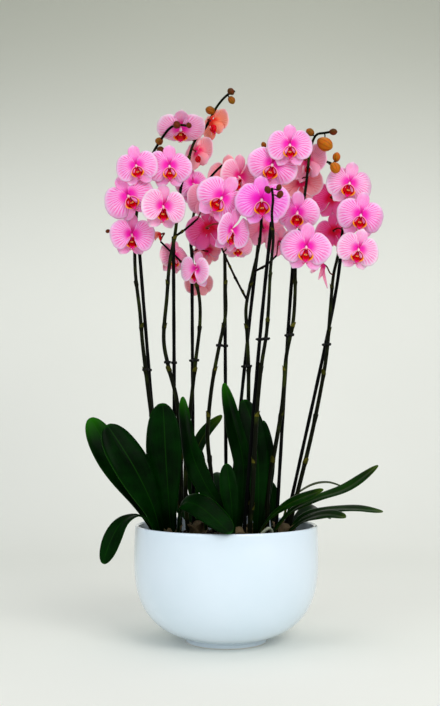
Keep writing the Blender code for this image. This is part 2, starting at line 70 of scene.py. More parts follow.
def metres(place: Place) -> Vector:
    """A place of the tables, in millimetres, as a vector in metres."""
    return Vector(place) * MM


def in_metres(places: Iterable[Place]) -> list[Vector]:
    """The places of a table as vectors in metres."""
    return [metres(place) for place in places]


def angles(count: int) -> list[float]:
    """Angles that share out a full turn, in radians."""
    return [math.tau * k / count for k in range(count)]


def blend(low: float, high: float, share: float) -> float:
    """The value that lies share of the way from low to high."""
    return low + (high - low) * share


def ease(share: float) -> float:
    """A share from 0 to 1 with a soft start and a soft end; values outside are cut off."""
    share = min(1.0, max(0.0, share))
    return share * share * (3 - 2 * share)


def smooth_path(points: Sequence[Vector], per_span: int) -> list[Vector]:
    """Points along a Catmull-Rom curve.

    Args:
        points: The places that the curve passes through, in metres.
        per_span: How many steps each stretch between two places takes.

    Returns:
        The curve's points, the first and last place among them.
    """
    ends = [2 * points[0] - points[1], *points, 2 * points[-1] - points[-2]]
    found = []
    for before, start, end, after in zip(ends, ends[1:], ends[2:], ends[3:]):
        for step in range(per_span):
            t = step / per_span
            found.append(0.5 * (
                2 * start
                + (end - before) * t
                + (2 * before - 5 * start + 4 * end - after) * t ** 2
                + (3 * start - before - 3 * end + after) * t ** 3
            ))
    return [*found, points[-1].copy()]


def even_path(points: Sequence[Vector], count: int) -> list[Vector]:
    """Points at equal distances along a smooth curve.

    Args:
        points: The places that the curve passes through, in metres.
        count: How many points to return.

    Returns:
        The evenly spaced points, from the first place to the last.
    """
    dense = smooth_path(points, 12)
    along = [0.0]
    for start, end in zip(dense, dense[1:]):
        along.append(along[-1] + (end - start).length)
    found, k = [], 0
    for step in range(count):
        wanted = along[-1] * step / (count - 1)
        while k < len(dense) - 2 and along[k + 1] < wanted:
            k += 1
        share = (wanted - along[k]) / max(1e-9, along[k + 1] - along[k])
        found.append(dense[k].lerp(dense[k + 1], min(1.0, share)))
    return found


def directions(path: Sequence[Vector]) -> list[Vector]:
    """Finds which way a path runs.

    Args:
        path: The path's points.

    Returns:
        The unit direction at each point.
    """
    following = [*path[1:], path[-1]]
    leading = [path[0], *path[:-1]]
    return [(b - a).normalized() for a, b in zip(leading, following)]


def tube_rings(path: Sequence[Vector], radii: Sequence[float], sides: int) -> list[list[Vector]]:
    """Rings across a path.

    Args:
        path: The tube's middle line.
        radii: Its radius at each point of the path.
        sides: How many points each ring has.

    Returns:
        One ring of points for each point of the path, turned as little as possible in between.
    """
    rings = []
    side = Vector((1, 0.02, 0.01))
    for point, along, radius in zip(path, directions(path), radii):
        side = (side - along * side.dot(along)).normalized()
        up = along.cross(side)
        rings.append([
            point + radius * (math.cos(a) * side + math.sin(a) * up) for a in angles(sides)
        ])
    return rings


class Draft:
    """Collects the points and faces of one piece, and makes its object."""

    def __init__(self) -> None:
        """Starts an empty piece."""
        self.points: list[Vector] = []
        self.faces: list[tuple[int, ...]] = []
        self.corners: list[tuple[float, float]] = []
        self.slots: list[int] = []

    def grid(
        self, rows: Sequence[Sequence[Vector]], wrap: bool = False, caps: bool = False, slot: int = 0,
        flip: bool = False,
    ) -> None:
        """Adds a sheet or a tube. Its map runs 0 to 1 across in U and 0 to 1 along in V.

        Args:
            rows: Rows of points, of equal length, from one end of the piece to the other.
            wrap: Whether each row closes on itself, as a tube's rings do.
            caps: Whether the first and last rows are filled.
            slot: Which of the piece's materials the faces take.
            flip: Whether the faces look the other way; the map stays the same.
        """
        first = len(self.points)
        width, height = len(rows[0]), len(rows)
        for row in rows:
            self.points.extend(row)
        columns = width if wrap else width - 1
        for j in range(height - 1):
            for i in range(columns):
                after = (i + 1) % width
                start = first + j * width
                face = [start + i, start + after, start + width + after, start + width + i]
                left, right = i / columns, (i + 1) / columns
                low, high = j / (height - 1), (j + 1) / (height - 1)
                corners = [(left, low), (right, low), (right, high), (left, high)]
                turn = -1 if flip else 1
                self.faces.append(tuple(face[::turn]))
                self.corners += corners[::turn]
                self.slots.append(slot)
        if caps:
            last = first + (height - 1) * width
            ends = ((range(first + width - 1, first - 1, -1), 0.0), (range(last, last + width), 1.0))
            for ring, v in ends:
                self.faces.append(tuple(ring))
                self.corners += [(0.5, v)] * width
                self.slots.append(slot)

    def tube(
        self, path: Sequence[Vector], radii: Sequence[float], sides: int = 10, slot: int = 0
    ) -> None:
        """Adds a closed tube along a path.

        Args:
            path: The tube's middle line.
            radii: Its radius at each point of the path.
            sides: How many sides it has.
            slot: Which of the piece's materials it takes.
        """
        self.grid(tube_rings(path, radii, sides), wrap=True, caps=True, slot=slot)

    def pod(
        self, foot: Vector, tip: Vector, outline: Sequence[tuple[float, float]], ridges: int = 0
    ) -> None:
        """Adds a round closed body along a line.

        Args:
            foot: Where the body starts.
            tip: Where it ends.
            outline: Pairs of share along the line and radius in metres.
            ridges: How many shallow ridges run along it.
        """
        along = (tip - foot).normalized()
        side = along.orthogonal().normalized()
        up = along.cross(side)
        rows = []
        for share, radius in outline:
            ring = []
            for turn in angles(POD_SIDES):
                swell = 1 + 0.07 * math.cos(ridges * turn) if ridges else 1
                spoke = math.cos(turn) * side + math.sin(turn) * up
                ring.append(foot.lerp(tip, share) + spoke * radius * swell)
            rows.append(ring)
        self.grid(rows, wrap=True, caps=True)

    def build(
        self, name: str, finishes: Sequence["Finish"], slot: str, *, replaces: Iterable[str] = (),
        thickness: float = 0.0, rounding: int = 0,
    ) -> bpy.types.Object:
        """Makes the object, dresses it and puts it on the plant's body.

        Args:
            name: The piece's name.
            finishes: Its finishes; a sheet with thickness shows the second one on its back.
            slot: The record's material slot that the piece would belong to; it is not used.
            replaces: The CAD nodes that it stands for.
            thickness: How thick a sheet becomes, in metres; 0 leaves the faces as they are.
            rounding: How many times the faces are subdivided.

        Returns:
            The new object.
        """
        mesh = bpy.data.meshes.new(name)
        mesh.from_pydata(self.points, [], self.faces)
        layer = mesh.uv_layers.new(name="Map")
        layer.data.foreach_set("uv", [value for corner in self.corners for value in corner])
        mesh.polygons.foreach_set("material_index", self.slots)
        for finish in finishes:
            mesh.materials.append(finish.material())
        mesh.shade_smooth()
        piece = bpy.data.objects.new(name, mesh)
        bpy.context.scene.collection.objects.link(piece)
        if thickness:
            solid = piece.modifiers.new("Thickness", "SOLIDIFY")
            solid.thickness = thickness
            solid.offset = 0
            solid.material_offset = len(finishes) // 2
        if rounding:
            soft = piece.modifiers.new("Rounding", "SUBSURF")
            soft.levels = rounding
            soft.render_levels = rounding
        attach(piece, BODY)
        if replaces:
            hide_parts(*replaces)
        return piece


# ---------------------------------------------------------------- shader nodes and shared effects


class Nodes:
    """Adds nodes to one node tree."""

    def __init__(self, tree: bpy.types.NodeTree) -> None:
        """Takes the tree to add to."""
        self.tree = tree
        self.shader: bpy.types.Node | None = None

    def add(self, kind: str, inputs: dict | None = None, **settings: object) -> bpy.types.Node:
        """Adds a node.

        Args:
            kind: The node's type, without its ShaderNode prefix.
            inputs: What each input takes: another node's socket, or a value.
            **settings: The node's own settings.

        Returns:
            The new node.
        """
        node = self.tree.nodes.new("ShaderNode" + kind)
        for name, value in settings.items():
            setattr(node, name, value)
        for name, value in (inputs or {}).items():
            if isinstance(value, Socket):
                self.tree.links.new(value, node.inputs[name])
            else:
                node.inputs[name].default_value = value
        return node

    def math(self, operation: str, first: object, second: object = 0.0) -> Socket:
        """The result of a Math node."""
        return self.add("Math", {0: first, 1: second}, operation=operation).outputs[0]

    def times(self, first: object, second: object) -> Socket:
        """The product of two values."""
        return self.math("MULTIPLY", first, second)

    def span(
        self, value: object, low: float, high: float, start: float = 0.0, end: float = 1.0
    ) -> Socket:
        """Moves a value smoothly from one span to another.

        Args:
            value: The value, or the socket that gives it.
            low: The first span's start.
            high: The first span's end.
            start: What a value at low becomes.
            end: What a value at high becomes.

        Returns:
            The moved value.
        """
        node = self.add(
            "MapRange",
            {"Value": value, "From Min": low, "From Max": high, "To Min": start, "To Max": end},
            interpolation_type="SMOOTHSTEP",
        )
        return node.outputs["Result"]

    def mix(self, amount: object, first: object, second: object) -> Socket:
        """Mixes two colours.

        Args:
            amount: How much of the second colour there is, from 0 to 1.
            first: A colour or a socket.
            second: A colour or a socket.

        Returns:
            The mixed colour.
        """
        node = self.add("Mix", data_type="RGBA")
        for name, value in (("Factor_Float", amount), ("A_Color", first), ("B_Color", second)):
            socket = next(s for s in node.inputs if s.identifier == name)
            if isinstance(value, Socket):
                self.tree.links.new(value, socket)
            else:
                socket.default_value = (*value, 1) if isinstance(value, tuple) else value
        return next(s for s in node.outputs if s.identifier == "Result_Color")

    def map_place(self) -> tuple[Socket, Socket, Socket]:
        """Reads the piece's map.

        Returns:
            The map's vector, the share across the piece and the share along it.
        """
        vector = self.add("TexCoord").outputs["UV"]
        parts = self.add("SeparateXYZ", {0: vector})
        return vector, parts.outputs[0], parts.outputs[1]

    def body_place(self) -> Socket:
        """The place on the object itself, in metres."""
        return self.add("TexCoord").outputs["Object"]

    def dress(
        self, colour: Socket, roughness: Socket | float, height: Socket | None = None,
        depth: float = 0.0002, strength: float = 0.4, **constants: float,
    ) -> None:
        """Connects the material's shader.

        Args:
            colour: What feeds the base colour.
            roughness: What feeds the roughness, or its value.
            height: What feeds the bump, if there is one.
            depth: How far the bump reaches, in metres.
            strength: How strongly the bump shows.
            **constants: Values set on the shader's other inputs, their names in lower case with _.
        """
        inputs = self.shader.inputs
        self.tree.links.new(colour, inputs["Base Color"])
        if isinstance(roughness, Socket):
            self.tree.links.new(roughness, inputs["Roughness"])
        else:
            inputs["Roughness"].default_value = roughness
        if height is not None:
            bump = self.add("Bump", {"Height": height, "Strength": strength, "Distance": depth})
            self.tree.links.new(bump.outputs[0], inputs["Normal"])
        titles = {socket.name.lower().replace(" ", "_"): socket for socket in inputs}
        for name, value in constants.items():
            titles[name].default_value = value

    def effect(self, group: bpy.types.NodeTree, **inputs: object) -> Socket:
        """Places a shared effect, with its own values.

        Args:
            group: The effect's node group.
            **inputs: The group's inputs, their names in lower case with _.

        Returns:
            What the effect puts out.
        """
        node = self.add("Group", node_tree=group)
        for name, value in inputs.items():
            title = name.replace("_", " ").capitalize()
            if isinstance(value, Socket):
                self.tree.links.new(value, node.inputs[title])
            else:
                node.inputs[title].default_value = value
        return node.outputs[0]

    def patches(self, scale: float, low: float, high: float) -> Socket:
        """Soft uneven patches over the object, from 0 to 1."""
        return self.effect(blotches(), place=self.body_place(), scale=scale, low=low, high=high)

    def grain(self, scale: float, swell: float) -> Socket:
        """A fine skin over the object, as a height from 0 to 1."""
        return self.effect(skin_grain(), place=self.body_place(), scale=scale, swell=swell)

    def veins(self, vector: Socket, count: float, width: float, wander: float) -> Socket:
        """Veins along the piece's map, from 0 to 1."""
        return self.effect(fan_veins(), map=vector, count=count, width=width, wander=wander)

    def streaks(self, vector: Socket, count: float, stretch: float) -> Socket:
        """Fine streaks along the piece's map, from 0 to 1."""
        return self.effect(length_streaks(), map=vector, count=count, stretch=stretch)


def new_effect(
    name: str, inputs: dict[str, object], outputs: Sequence[str]
) -> tuple[bpy.types.NodeTree, Nodes, bpy.types.Node, bpy.types.Node]:
    """Starts a node group.

    Args:
        name: The group's name.
        inputs: Each input's name and first value; None makes it a vector.
        outputs: The names of its outputs, which are all plain values.

    Returns:
        The group, a helper that adds nodes to it, its input node and its output node.
    """
    group = bpy.data.node_groups.new(name, "ShaderNodeTree")
    for title, value in inputs.items():
        kind = "NodeSocketVector" if value is None else "NodeSocketFloat"
        socket = group.interface.new_socket(name=title, in_out="INPUT", socket_type=kind)
        if value is not None:
            socket.default_value = value
    for title in outputs:
        group.interface.new_socket(name=title, in_out="OUTPUT", socket_type="NodeSocketFloat")
    source = group.nodes.new("NodeGroupInput")
    result = group.nodes.new("NodeGroupOutput")
    return group, Nodes(group), source, result


@functools.cache
def fan_veins() -> bpy.types.NodeTree:
    """Makes veins that run along a petal and wander a little.

    Returns:
        The group, which puts out Veins, from 0 to 1.
    """
    group, nodes, source, result = new_effect(
        "Fan veins", {"Map": None, "Count": 10.0, "Width": 0.2, "Wander": 0.5}, ["Veins"])
    parts = nodes.add("SeparateXYZ", {0: source.outputs["Map"]})
    across, along = parts.outputs[0], parts.outputs[1]
    stretched = nodes.add("VectorMath", {0: source.outputs["Map"], 1: (9, 3.5, 1)}, operation="MULTIPLY")
    drift = nodes.add("TexNoise", {"Vector": stretched.outputs[0], "Scale": 1.0, "Detail": 3.0})
    shift = nodes.times(nodes.math("SUBTRACT", drift.outputs[0], 0.5), source.outputs["Wander"])
    phase = nodes.math("ADD", nodes.times(across, source.outputs["Count"]), shift)
    wave = nodes.math("PINGPONG", phase, 0.5)
    line = nodes.add(
        "MapRange",
        {"Value": wave, "From Min": 0.0, "From Max": source.outputs["Width"], "To Min": 1.0, "To Max": 0.0},
        interpolation_type="SMOOTHSTEP")
    fading = nodes.times(line.outputs["Result"], nodes.span(along, 0.72, 1.0, 1.0, 0.1))
    group.links.new(fading, result.inputs["Veins"])
    return group


@functools.cache
def blotches() -> bpy.types.NodeTree:
    """Makes soft uneven patches.

    Returns:
        The group, which puts out Amount, from 0 to 1.
    """
    group, nodes, source, result = new_effect(
        "Blotches", {"Place": None, "Scale": 20.0, "Low": 0.35, "High": 0.7}, ["Amount"])
    cloud = nodes.add(
        "TexNoise", {"Vector": source.outputs["Place"], "Scale": source.outputs["Scale"], "Detail": 4.0})
    spread = nodes.add(
        "MapRange",
        {"Value": cloud.outputs[0], "From Min": source.outputs["Low"], "From Max": source.outputs["High"]},
        interpolation_type="SMOOTHSTEP")
    group.links.new(spread.outputs["Result"], result.inputs["Amount"])
    return group


@functools.cache
def skin_grain() -> bpy.types.NodeTree:
    """Makes a fine living skin: cells over a slower swell.

    Returns:
        The group, which puts out Height, from 0 to 1.
    """
    group, nodes, source, result = new_effect(
        "Skin grain", {"Place": None, "Scale": 900.0, "Swell": 0.4}, ["Height"])
    cells = nodes.add(
        "TexVoronoi", {"Vector": source.outputs["Place"], "Scale": source.outputs["Scale"]})
    coarse = nodes.times(source.outputs["Scale"], 0.12)
    cloud = nodes.add("TexNoise", {"Vector": source.outputs["Place"], "Scale": coarse, "Detail": 3.0})
    swell = nodes.times(cloud.outputs[0], source.outputs["Swell"])
    height = nodes.math("ADD", nodes.times(cells.outputs["Distance"], 0.5), swell)
    group.links.new(height, result.inputs["Height"])
    return group


@functools.cache
def length_streaks() -> bpy.types.NodeTree:
    """Makes fine streaks along a stem, cane or strap leaf.

    Returns:
        The group, which puts out Streaks, from 0 to 1.
    """
    group, nodes, source, result = new_effect(
        "Length streaks", {"Map": None, "Count": 20.0, "Stretch": 2.0}, ["Streaks"])
    parts = nodes.add("SeparateXYZ", {0: source.outputs["Map"]})
    across = nodes.times(parts.outputs[0], source.outputs["Count"])
    along = nodes.times(parts.outputs[1], source.outputs["Stretch"])
    place = nodes.add("CombineXYZ", {0: across, 1: along})
    cloud = nodes.add("TexNoise", {"Vector": place.outputs[0], "Scale": 1.0, "Detail": 5.0})
    group.links.new(nodes.span(cloud.outputs[0], 0.3, 0.7), result.inputs["Streaks"])
    return group


# ---------------------------------------------------------------- finishes


@dataclass(frozen=True)
class Finish:
    """A surface's look. Each kind of finish paints its own nodes."""

    name: str

    def material(self) -> bpy.types.Material:
        """Makes the finish's material, or finds it.

        Returns:
            The material, which is made once.
        """
        found = bpy.data.materials.get(self.name)
        if found:
            return found
        material = bpy.data.materials.new(self.name)
        material.use_nodes = True
        material.node_tree.nodes.clear()
        nodes = Nodes(material.node_tree)
        nodes.shader = nodes.add("BsdfPrincipled")
        nodes.add("OutputMaterial", {0: nodes.shader.outputs[0]})
        self.paint(nodes)
        return material

    def paint(self, nodes: Nodes) -> None:
        """Links colours, roughness and bumps to the material's shader.

        Args:
            nodes: Adds nodes to the material.
        """
        raise NotImplementedError


@dataclass(frozen=True)
class GlazeFinish(Finish):
    """Cool white glaze over clay, with a faint tide mark by the foot."""

    glaze: Colour = (0.77, 0.88, 0.985)
    pooled: Colour = (0.68, 0.82, 0.92)
    clay: Colour = (0.74, 0.72, 0.66)

    def paint(self, nodes: Nodes) -> None:
        """Paints uneven glaze, and bare clay under the foot.

        Args:
            nodes: Adds nodes to the material.
        """
        height = nodes.add("SeparateXYZ", {0: nodes.body_place()}).outputs[2]
        patches = nodes.patches(9.0, 0.3, 0.75)
        colour = nodes.mix(nodes.times(patches, 0.45), self.glaze, self.pooled)
        bare = nodes.span(height, 0.0008, 0.0022, 1.0, 0.0)
        colour = nodes.mix(bare, colour, self.clay)
        roughness = nodes.math("ADD", nodes.times(bare, 0.6), nodes.span(patches, 0, 1, 0.07, 0.13))
        nodes.dress(colour, roughness, nodes.grain(260.0, 1.6), depth=0.0004,
                    strength=0.06, coat_weight=0.5, coat_roughness=0.04, ior=1.5)


@dataclass(frozen=True)
class EarthyFinish(Finish):
    """Bark, soil, moss and roots: uneven, matte and rough."""

    dark: Colour
    light: Colour
    tint: Colour
    scale: float = 60.0
    relief: float = 0.0012
    roughness: float = 0.85

    def paint(self, nodes: Nodes) -> None:
        """Paints patches of three colours over a coarse relief.

        Args:
            nodes: Adds nodes to the material.
        """
        patches = nodes.patches(self.scale, 0.3, 0.7)
        flecks = nodes.patches(self.scale * 5, 0.5, 0.66)
        colour = nodes.mix(patches, self.dark, self.light)
        colour = nodes.mix(nodes.times(flecks, 0.5), colour, self.tint)
        height = nodes.math("ADD", nodes.grain(self.scale * 14, 1.5), nodes.times(patches, 0.8))
        rough = nodes.span(flecks, 0, 1, self.roughness, self.roughness - 0.15)
        nodes.dress(colour, rough, height, depth=self.relief, strength=0.7,
                    specular_ior_level=0.2)


@dataclass(frozen=True)
class LeafFinish(Finish):
    """A strap leaf's waxy skin: deep green, with a paler midrib and tip, and a paler rim that is a painted
    highlight.
    """

    deep: Colour = (0.0003, 0.0034, 0.0003)
    lit: Colour = (0.0007, 0.0190, 0.0005)
    rim: Colour = (0.0060, 0.0520, 0.0010)
    tip: Colour = (0.0040, 0.0600, 0.0008)
    tip_start: float = 0.86

    def paint(self, nodes: Nodes) -> None:
        """Paints the blade. The map's U runs over the upper face and back under the lower one.

        Args:
            nodes: Adds nodes to the material.
        """
        vector, around, along = nodes.map_place()
        across = nodes.math("PINGPONG", nodes.times(around, 2.0), 1.0)
        from_rib = nodes.math("ABSOLUTE", nodes.math("SUBTRACT", nodes.times(across, 2.0), 1.0))
        under = nodes.span(around, 0.49, 0.51)
        patches = nodes.patches(22.0, 0.3, 0.75)
        streaks = nodes.streaks(vector, 46.0, 5.0)
        colour = nodes.mix(patches, self.deep, self.lit)
        colour = nodes.mix(nodes.times(streaks, 0.22), colour, self.lit)
        colour = nodes.mix(nodes.times(under, 0.5), colour, self.rim)
        colour = nodes.mix(nodes.span(from_rib, 0.0, 0.05, 0.5, 0.0), colour, self.rim)
        # Painted highlight: the margins are lightened towards the rim colour, where glossy edges catch the
        # light.
        colour = nodes.mix(nodes.span(from_rib, 0.93, 1.0, 0.0, 0.9), colour, self.rim)
        colour = nodes.mix(nodes.span(along, self.tip_start, 1.0, 0.0, 0.85), colour, self.tip)
        height = nodes.math("ADD", nodes.grain(700.0, 2.0), nodes.times(streaks, 0.9))
        rough = nodes.span(patches, 0, 1, 0.30, 0.42)
        nodes.dress(colour, rough, height, depth=0.0003, strength=0.25,
                    specular_ior_level=0.025)


@dataclass(frozen=True)
class StemFinish(Finish):
    """A stem, cane, bract or pedicel: streaked along its length, in patches of two colours."""

    main: Colour
    patch: Colour
    streak: Colour
    roughness: float = 0.42
    patch_scale: float = 30.0
    patch_low: float = 0.45
    sheen: float = 0.05

    def paint(self, nodes: Nodes) -> None:
        """Paints patches and streaks over a fibrous skin.

        Args:
            nodes: Adds nodes to the material.
        """
        vector, _, _ = nodes.map_place()
        patches = nodes.patches(self.patch_scale, self.patch_low, 0.72)
        streaks = nodes.streaks(vector, 12.0, 30.0)
        colour = nodes.mix(patches, self.main, self.patch)
        colour = nodes.mix(nodes.times(streaks, 0.35), colour, self.streak)
        height = nodes.math("ADD", nodes.times(nodes.grain(1200.0, 1.0), 0.4), streaks)
        rough = nodes.span(streaks, 0, 1, self.roughness, self.roughness + 0.12)
        nodes.dress(colour, rough, height, depth=0.0003, strength=0.35,
                    specular_ior_level=self.sheen)


@dataclass(frozen=True)
class BudFinish(Finish):
    """A closed bud: olive at its foot, warm at its sides, with dark seams between the sepals."""

    foot: Colour = (0.19, 0.095, 0.002)
    side: Colour = (0.36, 0.070, 0.002)
    seam: Colour = (0.05, 0.006, 0.001)

    def paint(self, nodes: Nodes) -> None:
        """Paints the sepals, their seams and a dusting of flecks.

        Args:
            nodes: Adds nodes to the material.
        """
        vector, _, along = nodes.map_place()
        patches = nodes.patches(110.0, 0.3, 0.7)
        colour = nodes.mix(patches, self.foot, self.side)
        colour = nodes.mix(nodes.span(along, 0.0, 0.35, 0.7, 0.0), colour, self.seam)
        veins = nodes.veins(vector, 9.0, 0.3, 0.6)
        colour = nodes.mix(nodes.times(veins, 0.4), colour, self.seam)
        height = nodes.math("SUBTRACT", nodes.times(nodes.grain(1500.0, 0.8), 0.5), veins)
        nodes.dress(colour, nodes.span(patches, 0, 1, 0.38, 0.5), height,
                    depth=0.0003, strength=0.35, specular_ior_level=0.12)


@dataclass(frozen=True)
class PetalFinish(Finish):
    """A petal or sepal: fine veins that fan from a glowing heart to a pale margin."""

    middle: Colour
    outer: Colour
    vein: Colour
    heart: Colour
    margin: Colour
    dusk: Colour = (0.50, 0.13, 0.34)
    heart_reach: float = 0.46
    vein_strength: float = 0.9
    vein_count: float = 16.0

    def paint(self, nodes: Nodes) -> None:
        """Paints the ground, the heart, the veins, the margin and a little dusk at the tips.

        Args:
            nodes: Adds nodes to the material.
        """
        vector, _, along = nodes.map_place()
        patches = nodes.patches(38.0, 0.3, 0.75)
        veins = nodes.veins(vector, self.vein_count, 0.30, 0.9)
        twigs = nodes.veins(vector, self.vein_count * 1.9, 0.26, 2.4)
        far = nodes.times(twigs, nodes.span(along, 0.3, 0.7, 0.0, 0.75))
        lines = nodes.math("MAXIMUM", veins, far)
        ground = nodes.mix(nodes.span(along, 0.20, 0.80), self.middle, self.outer)
        ground = nodes.mix(nodes.times(patches, 0.3), ground, self.margin)
        glow = nodes.span(along, 0.14, self.heart_reach, 0.96, 0.0)
        colour = nodes.mix(glow, ground, self.heart)
        inked = nodes.times(lines, nodes.span(along, 0.06, 0.24, 0.0, self.vein_strength))
        colour = nodes.mix(inked, colour, self.vein)
        colour = nodes.mix(nodes.span(along, 0.86, 1.0, 0.0, 0.8), colour, self.margin)
        shade = nodes.times(nodes.patches(17.0, 0.45, 0.72), nodes.span(along, 0.6, 0.95, 0.0, 0.5))
        colour = nodes.mix(shade, colour, self.dusk)
        sparkle = nodes.times(nodes.grain(1600.0, 0.8), 0.35)
        height = nodes.math("ADD", sparkle, nodes.times(lines, 0.7))
        nodes.dress(colour, nodes.span(patches, 0, 1, 0.5, 0.62), height,
                    depth=0.0004, strength=0.3, specular_ior_level=0.12,
                    subsurface_weight=0.2, subsurface_scale=0.003)


@dataclass(frozen=True)
class LipFinish(Finish):
    """The lip's side lobes: deep red in the throat, with an orange and cream rim."""

    throat: Colour = (0.40, 0.0004, 0.0010)
    flush: Colour = (0.86, 0.002, 0.020)
    rim: Colour = (0.96, 0.36, 0.010)
    crest: Colour = (0.95, 0.34, 0.50)

    def paint(self, nodes: Nodes) -> None:
        """Paints freckles in the throat and a rim that pales towards the top.

        Args:
            nodes: Adds nodes to the material.
        """
        vector, around, along = nodes.map_place()
        freckles = nodes.patches(520.0, 0.4, 0.6)
        colour = nodes.mix(freckles, self.throat, self.flush)
        edge = nodes.mix(nodes.span(around, 0.42, 0.60), self.rim, self.crest)
        edge = nodes.mix(nodes.span(around, 0.04, 0.22, 1.0, 0.0), edge, self.flush)
        colour = nodes.mix(nodes.span(along, 0.74, 0.90), colour, edge)
        veins = nodes.veins(vector, 9.0, 0.3, 1.0)
        nodes.dress(colour, nodes.span(freckles, 0, 1, 0.25, 0.4), veins,
                    depth=0.0003, strength=0.3, specular_ior_level=0.06)


@dataclass(frozen=True)
class FleshFinish(Finish):
    """The flower's small waxy pieces: its tongue, callus, column and tendrils."""

    foot: Colour
    tip: Colour
    freckle: Colour
    start: float = 0.2
    freckling: float = 0.5

    def paint(self, nodes: Nodes) -> None:
        """Paints a wash from foot to tip, with freckles.

        Args:
            nodes: Adds nodes to the material.
        """
        _, _, along = nodes.map_place()
        spots = nodes.patches(600.0, 0.52, 0.62)
        colour = nodes.mix(nodes.span(along, self.start, 0.9), self.foot, self.tip)
        colour = nodes.mix(nodes.times(spots, self.freckling), colour, self.freckle)
        nodes.dress(colour, nodes.span(spots, 0, 1, 0.25, 0.35), nodes.grain(1800.0, 0.8),
                    depth=0.0003, strength=0.3, specular_ior_level=0.12, subsurface_weight=0.2,
                    subsurface_scale=0.002)


@dataclass(frozen=True)
class StudioFinish(Finish):
    """The matte floor and wall behind the object, with painted shade that darkens the wall towards its top.
    """

    tone: Colour = (0.90, 0.905, 0.85)
    shade: Colour = (0.48, 0.49, 0.42)

    def paint(self, nodes: Nodes) -> None:
        """Paints a faintly uneven matte sheet, with painted shade that darkens it towards the top of the
        wall, that a view from behind sees through.

        Args:
            nodes: Adds nodes to the material.
        """
        height = nodes.add("SeparateXYZ", {0: nodes.body_place()}).outputs[2]
        # Painted shade: from 0.75 m up, the wall fades to the shade colour, which it reaches 2.1 m up.
        colour = nodes.mix(nodes.span(height, 0.75, 2.1), self.tone, self.shade)
        colour = nodes.mix(nodes.times(nodes.patches(1.2, 0.3, 0.8), 0.05), colour, self.shade)
        nodes.dress(colour, 0.85, specular_ior_level=0.1)
        solid = nodes.shader.outputs[0]
        output = solid.links[0].to_socket
        behind = nodes.add("NewGeometry").outputs["Backfacing"]
        clear = nodes.add("BsdfTransparent").outputs[0]
        sheet = nodes.add("MixShader", {0: behind, 1: solid, 2: clear})
        nodes.tree.links.new(sheet.outputs[0], output)


class Tone(Enum):
    """How a flower's face is coloured: its middle, outer part, veins, heart and margin."""

    PINK = PetalFinish(
        "petal_rose", (0.95, 0.27, 0.70), (0.95, 0.48, 0.80), (0.93, 0.035, 0.42),
        (0.94, 0.0010, 0.46), (0.95, 0.64, 0.84))
    PALE = PetalFinish(
        "petal_pale", (0.95, 0.36, 0.70), (0.95, 0.59, 0.82), (0.92, 0.070, 0.42),
        (0.93, 0.0020, 0.44), (0.95, 0.74, 0.85))
    VIVID = PetalFinish(
        "petal_vivid", (0.95, 0.07, 0.66), (0.95, 0.34, 0.80), (0.92, 0.012, 0.56),
        (0.93, 0.0005, 0.52), (0.96, 0.58, 0.86), heart_reach=0.56)
    WARM = PetalFinish(
        "petal_warm", (0.94, 0.30, 0.52), (0.94, 0.48, 0.64), (0.88, 0.080, 0.32),
        (0.90, 0.0015, 0.26), (0.95, 0.62, 0.70))


class Back(Enum):
    """How the back of a flower is coloured."""

    DUSKY = PetalFinish(
        "back_dusky", (0.98, 0.28, 0.44), (1.0, 0.44, 0.60), (0.78, 0.08, 0.26),
        (0.84, 0.02, 0.20), (0.95, 0.58, 0.76), heart_reach=0.36, vein_strength=0.5)
    PEACH = PetalFinish(
        "back_peach", (1.0, 0.26, 0.33), (1.0, 0.46, 0.50), (0.92, 0.080, 0.14),
        (0.94, 0.0020, 0.14), (0.97, 0.60, 0.70), heart_reach=0.40, vein_strength=0.6)
    ORANGE = PetalFinish(
        "back_orange", (0.86, 0.18, 0.05), (0.94, 0.34, 0.22), (0.70, 0.040, 0.012),
        (0.70, 0.0100, 0.004), (0.95, 0.50, 0.50), heart_reach=0.42, vein_strength=0.7)
    MAGENTA = PetalFinish(
        "back_magenta", (1.0, 0.035, 0.34), (1.0, 0.17, 0.54), (0.88, 0.004, 0.14),
        (0.80, 0.0006, 0.020), (0.97, 0.40, 0.66), heart_reach=0.48, vein_strength=0.75)


class LeafTone(Enum):
    """How a leaf is coloured."""

    DEEP = LeafFinish("leaf_deep")
    FRESH = LeafFinish(
        "leaf_fresh", deep=(0.0007, 0.0080, 0.0004), lit=(0.005, 0.036, 0.001),
        rim=(0.09, 0.12, 0.006), tip=(0.050, 0.10, 0.003), tip_start=0.66)
    TIPPED = LeafFinish(
        "leaf_tipped", lit=(0.001, 0.020, 0.0006), tip=(0.014, 0.140, 0.0008), tip_start=0.60)


LIP = LipFinish("lip_throat")
TONGUE = FleshFinish(
    "lip_tongue", (0.62, 0.0008, 0.003), (0.94, 0.008, 0.30), (0.45, 0.0004, 0.002), start=0.4)
CALLUS = FleshFinish(
    "lip_callus", (0.90, 0.30, 0.02), (0.92, 0.42, 0.10), (0.60, 0.002, 0.002), freckling=0.9)
COLUMN = FleshFinish(
    "column_white", (0.90, 0.22, 0.60), (0.95, 0.74, 0.66), (0.90, 0.40, 0.55), freckling=0.25)
STEM = StemFinish(
    "stem_skin", (0.0018, 0.0028, 0.0006), (0.024, 0.036, 0.004), (0.005, 0.007, 0.001),
    patch_low=0.5)
TWIG = StemFinish("twig_skin", (0.0020, 0.0012, 0.0008), (0.016, 0.006, 0.002), (0.006, 0.002, 0.001))
PEDICEL = StemFinish("pedicel_skin", (0.10, 0.006, 0.004), (0.32, 0.08, 0.04), (0.05, 0.012, 0.004))
BRACT = StemFinish(
    "bract_skin", (0.030, 0.034, 0.002), (0.14, 0.12, 0.012), (0.05, 0.04, 0.004), roughness=0.6)
